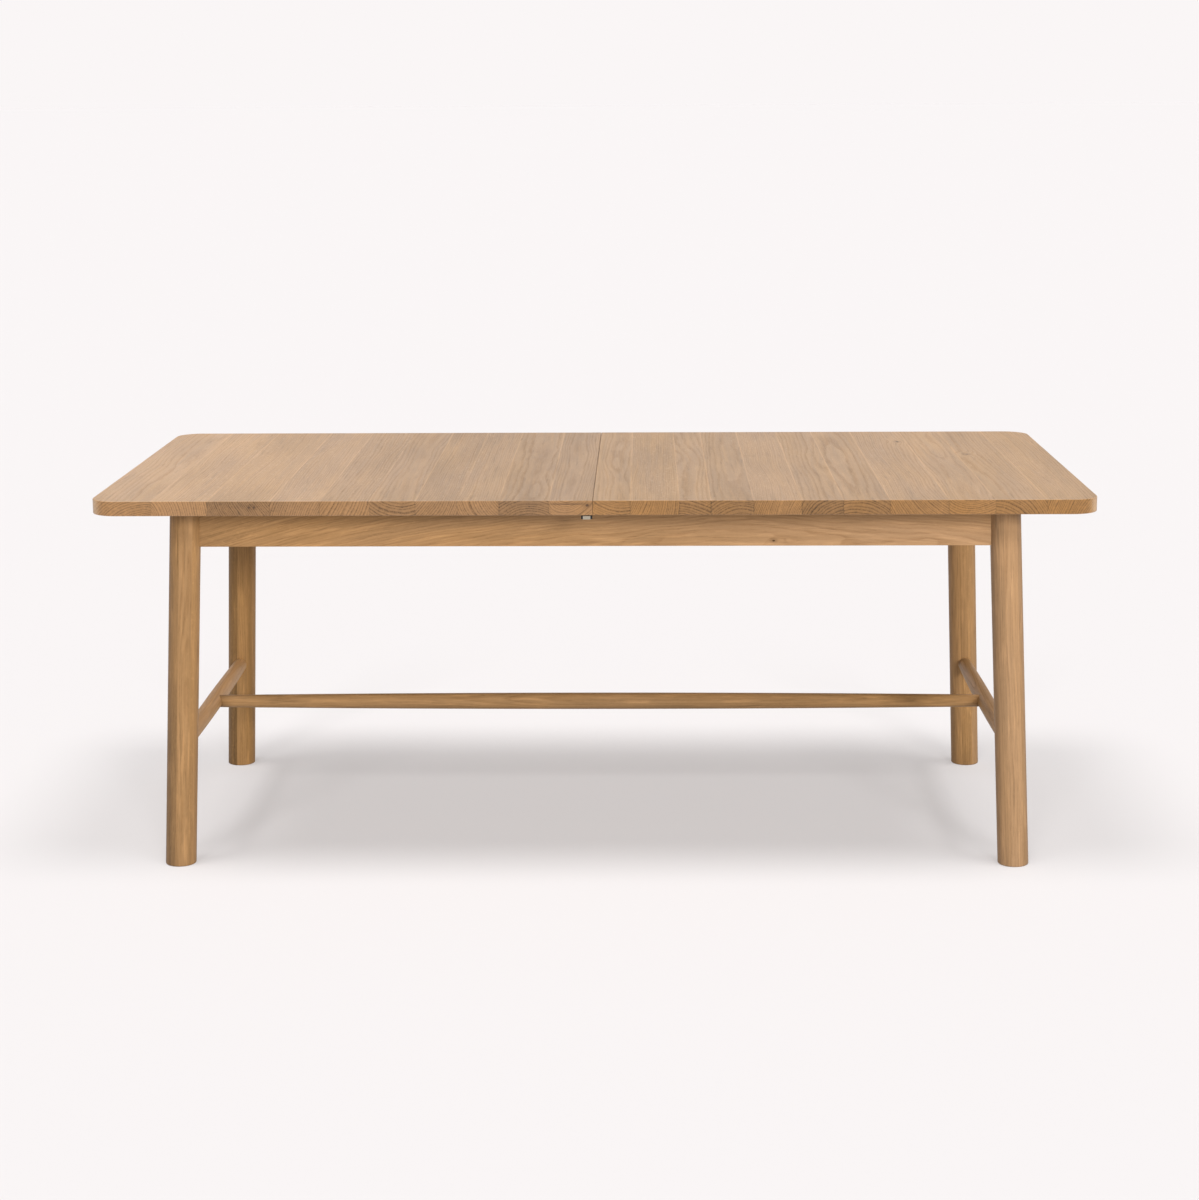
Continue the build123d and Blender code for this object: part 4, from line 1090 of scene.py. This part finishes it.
table_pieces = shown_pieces()
table_things = gather("table_things", table_pieces)
floor_things = gather("floor_things", [floor])
thin_pieces = [piece for piece in table_pieces if piece.name.startswith(("leg", "stretcher"))]
thin_things = gather("thin_things", thin_pieces)
OVERHEAD_SPREAD, KEY_SPREAD, FRONT_SPREAD, REAR_SPREAD = 22, 14, 12, 30
OVERHEAD_ON_TABLE, OVERHEAD_ON_FLOOR, KEY, FRONT, REAR = 1.27, 1.38, 0.85, 2.60, 0.9
for side, lean in (("left", 1), ("right", -1)):
    overhead = (lean * 0.29, 0.14, -1.0)
    key = (lean * 0.43, 1.445, -1.0)
    sun(f"overhead_{side}_table", overhead, OVERHEAD_ON_TABLE, OVERHEAD_SPREAD, table_things)
    sun(f"overhead_{side}_floor", overhead, OVERHEAD_ON_FLOOR, OVERHEAD_SPREAD, floor_things)
    sun(f"key_{side}_table", key, KEY, KEY_SPREAD, table_things, mirrored=False)
    sun(f"key_{side}_floor", key, KEY, KEY_SPREAD, floor_things, thin_things)
sun("front_fill", (-0.45, 1.0, -0.29), FRONT, FRONT_SPREAD, table_things, mirrored=False)
sun("rear_fill", (0.25, -1.0, -0.29), REAR, REAR_SPREAD, table_things, mirrored=False)

CAMERA_PLACE = Vector((99.56, -5008.56, 1482.16)) * MM
YAW, PITCH, ROLL = -0.01928, 0.20275, -0.00543      # to the right, down, anticlockwise
SENSOR_WIDTH = 36.0
FOCAL_LENGTH = 73.5615
level = math.cos(PITCH)
forward = Vector((math.sin(YAW) * level, math.cos(YAW) * level, -math.sin(PITCH)))
level_right = Vector((math.cos(YAW), -math.sin(YAW), 0.0))
level_up = level_right.cross(forward)
right = level_right * math.cos(ROLL) + level_up * math.sin(ROLL)
up = level_up * math.cos(ROLL) - level_right * math.sin(ROLL)
lens = bpy.data.cameras.new("camera")
lens.sensor_fit = "AUTO"
lens.sensor_width = SENSOR_WIDTH
lens.lens = FOCAL_LENGTH
lens.clip_start = 0.1
lens.clip_end = 1000.0
camera = bpy.data.objects.new("camera", lens)
camera.matrix_world = Matrix((
    (right.x, up.x, -forward.x, CAMERA_PLACE.x),
    (right.y, up.y, -forward.y, CAMERA_PLACE.y),
    (right.z, up.z, -forward.z, CAMERA_PLACE.z),
    (0, 0, 0, 1),
))
scene.collection.objects.link(camera)
scene.camera = camera
scene.view_settings.view_transform = "Standard"
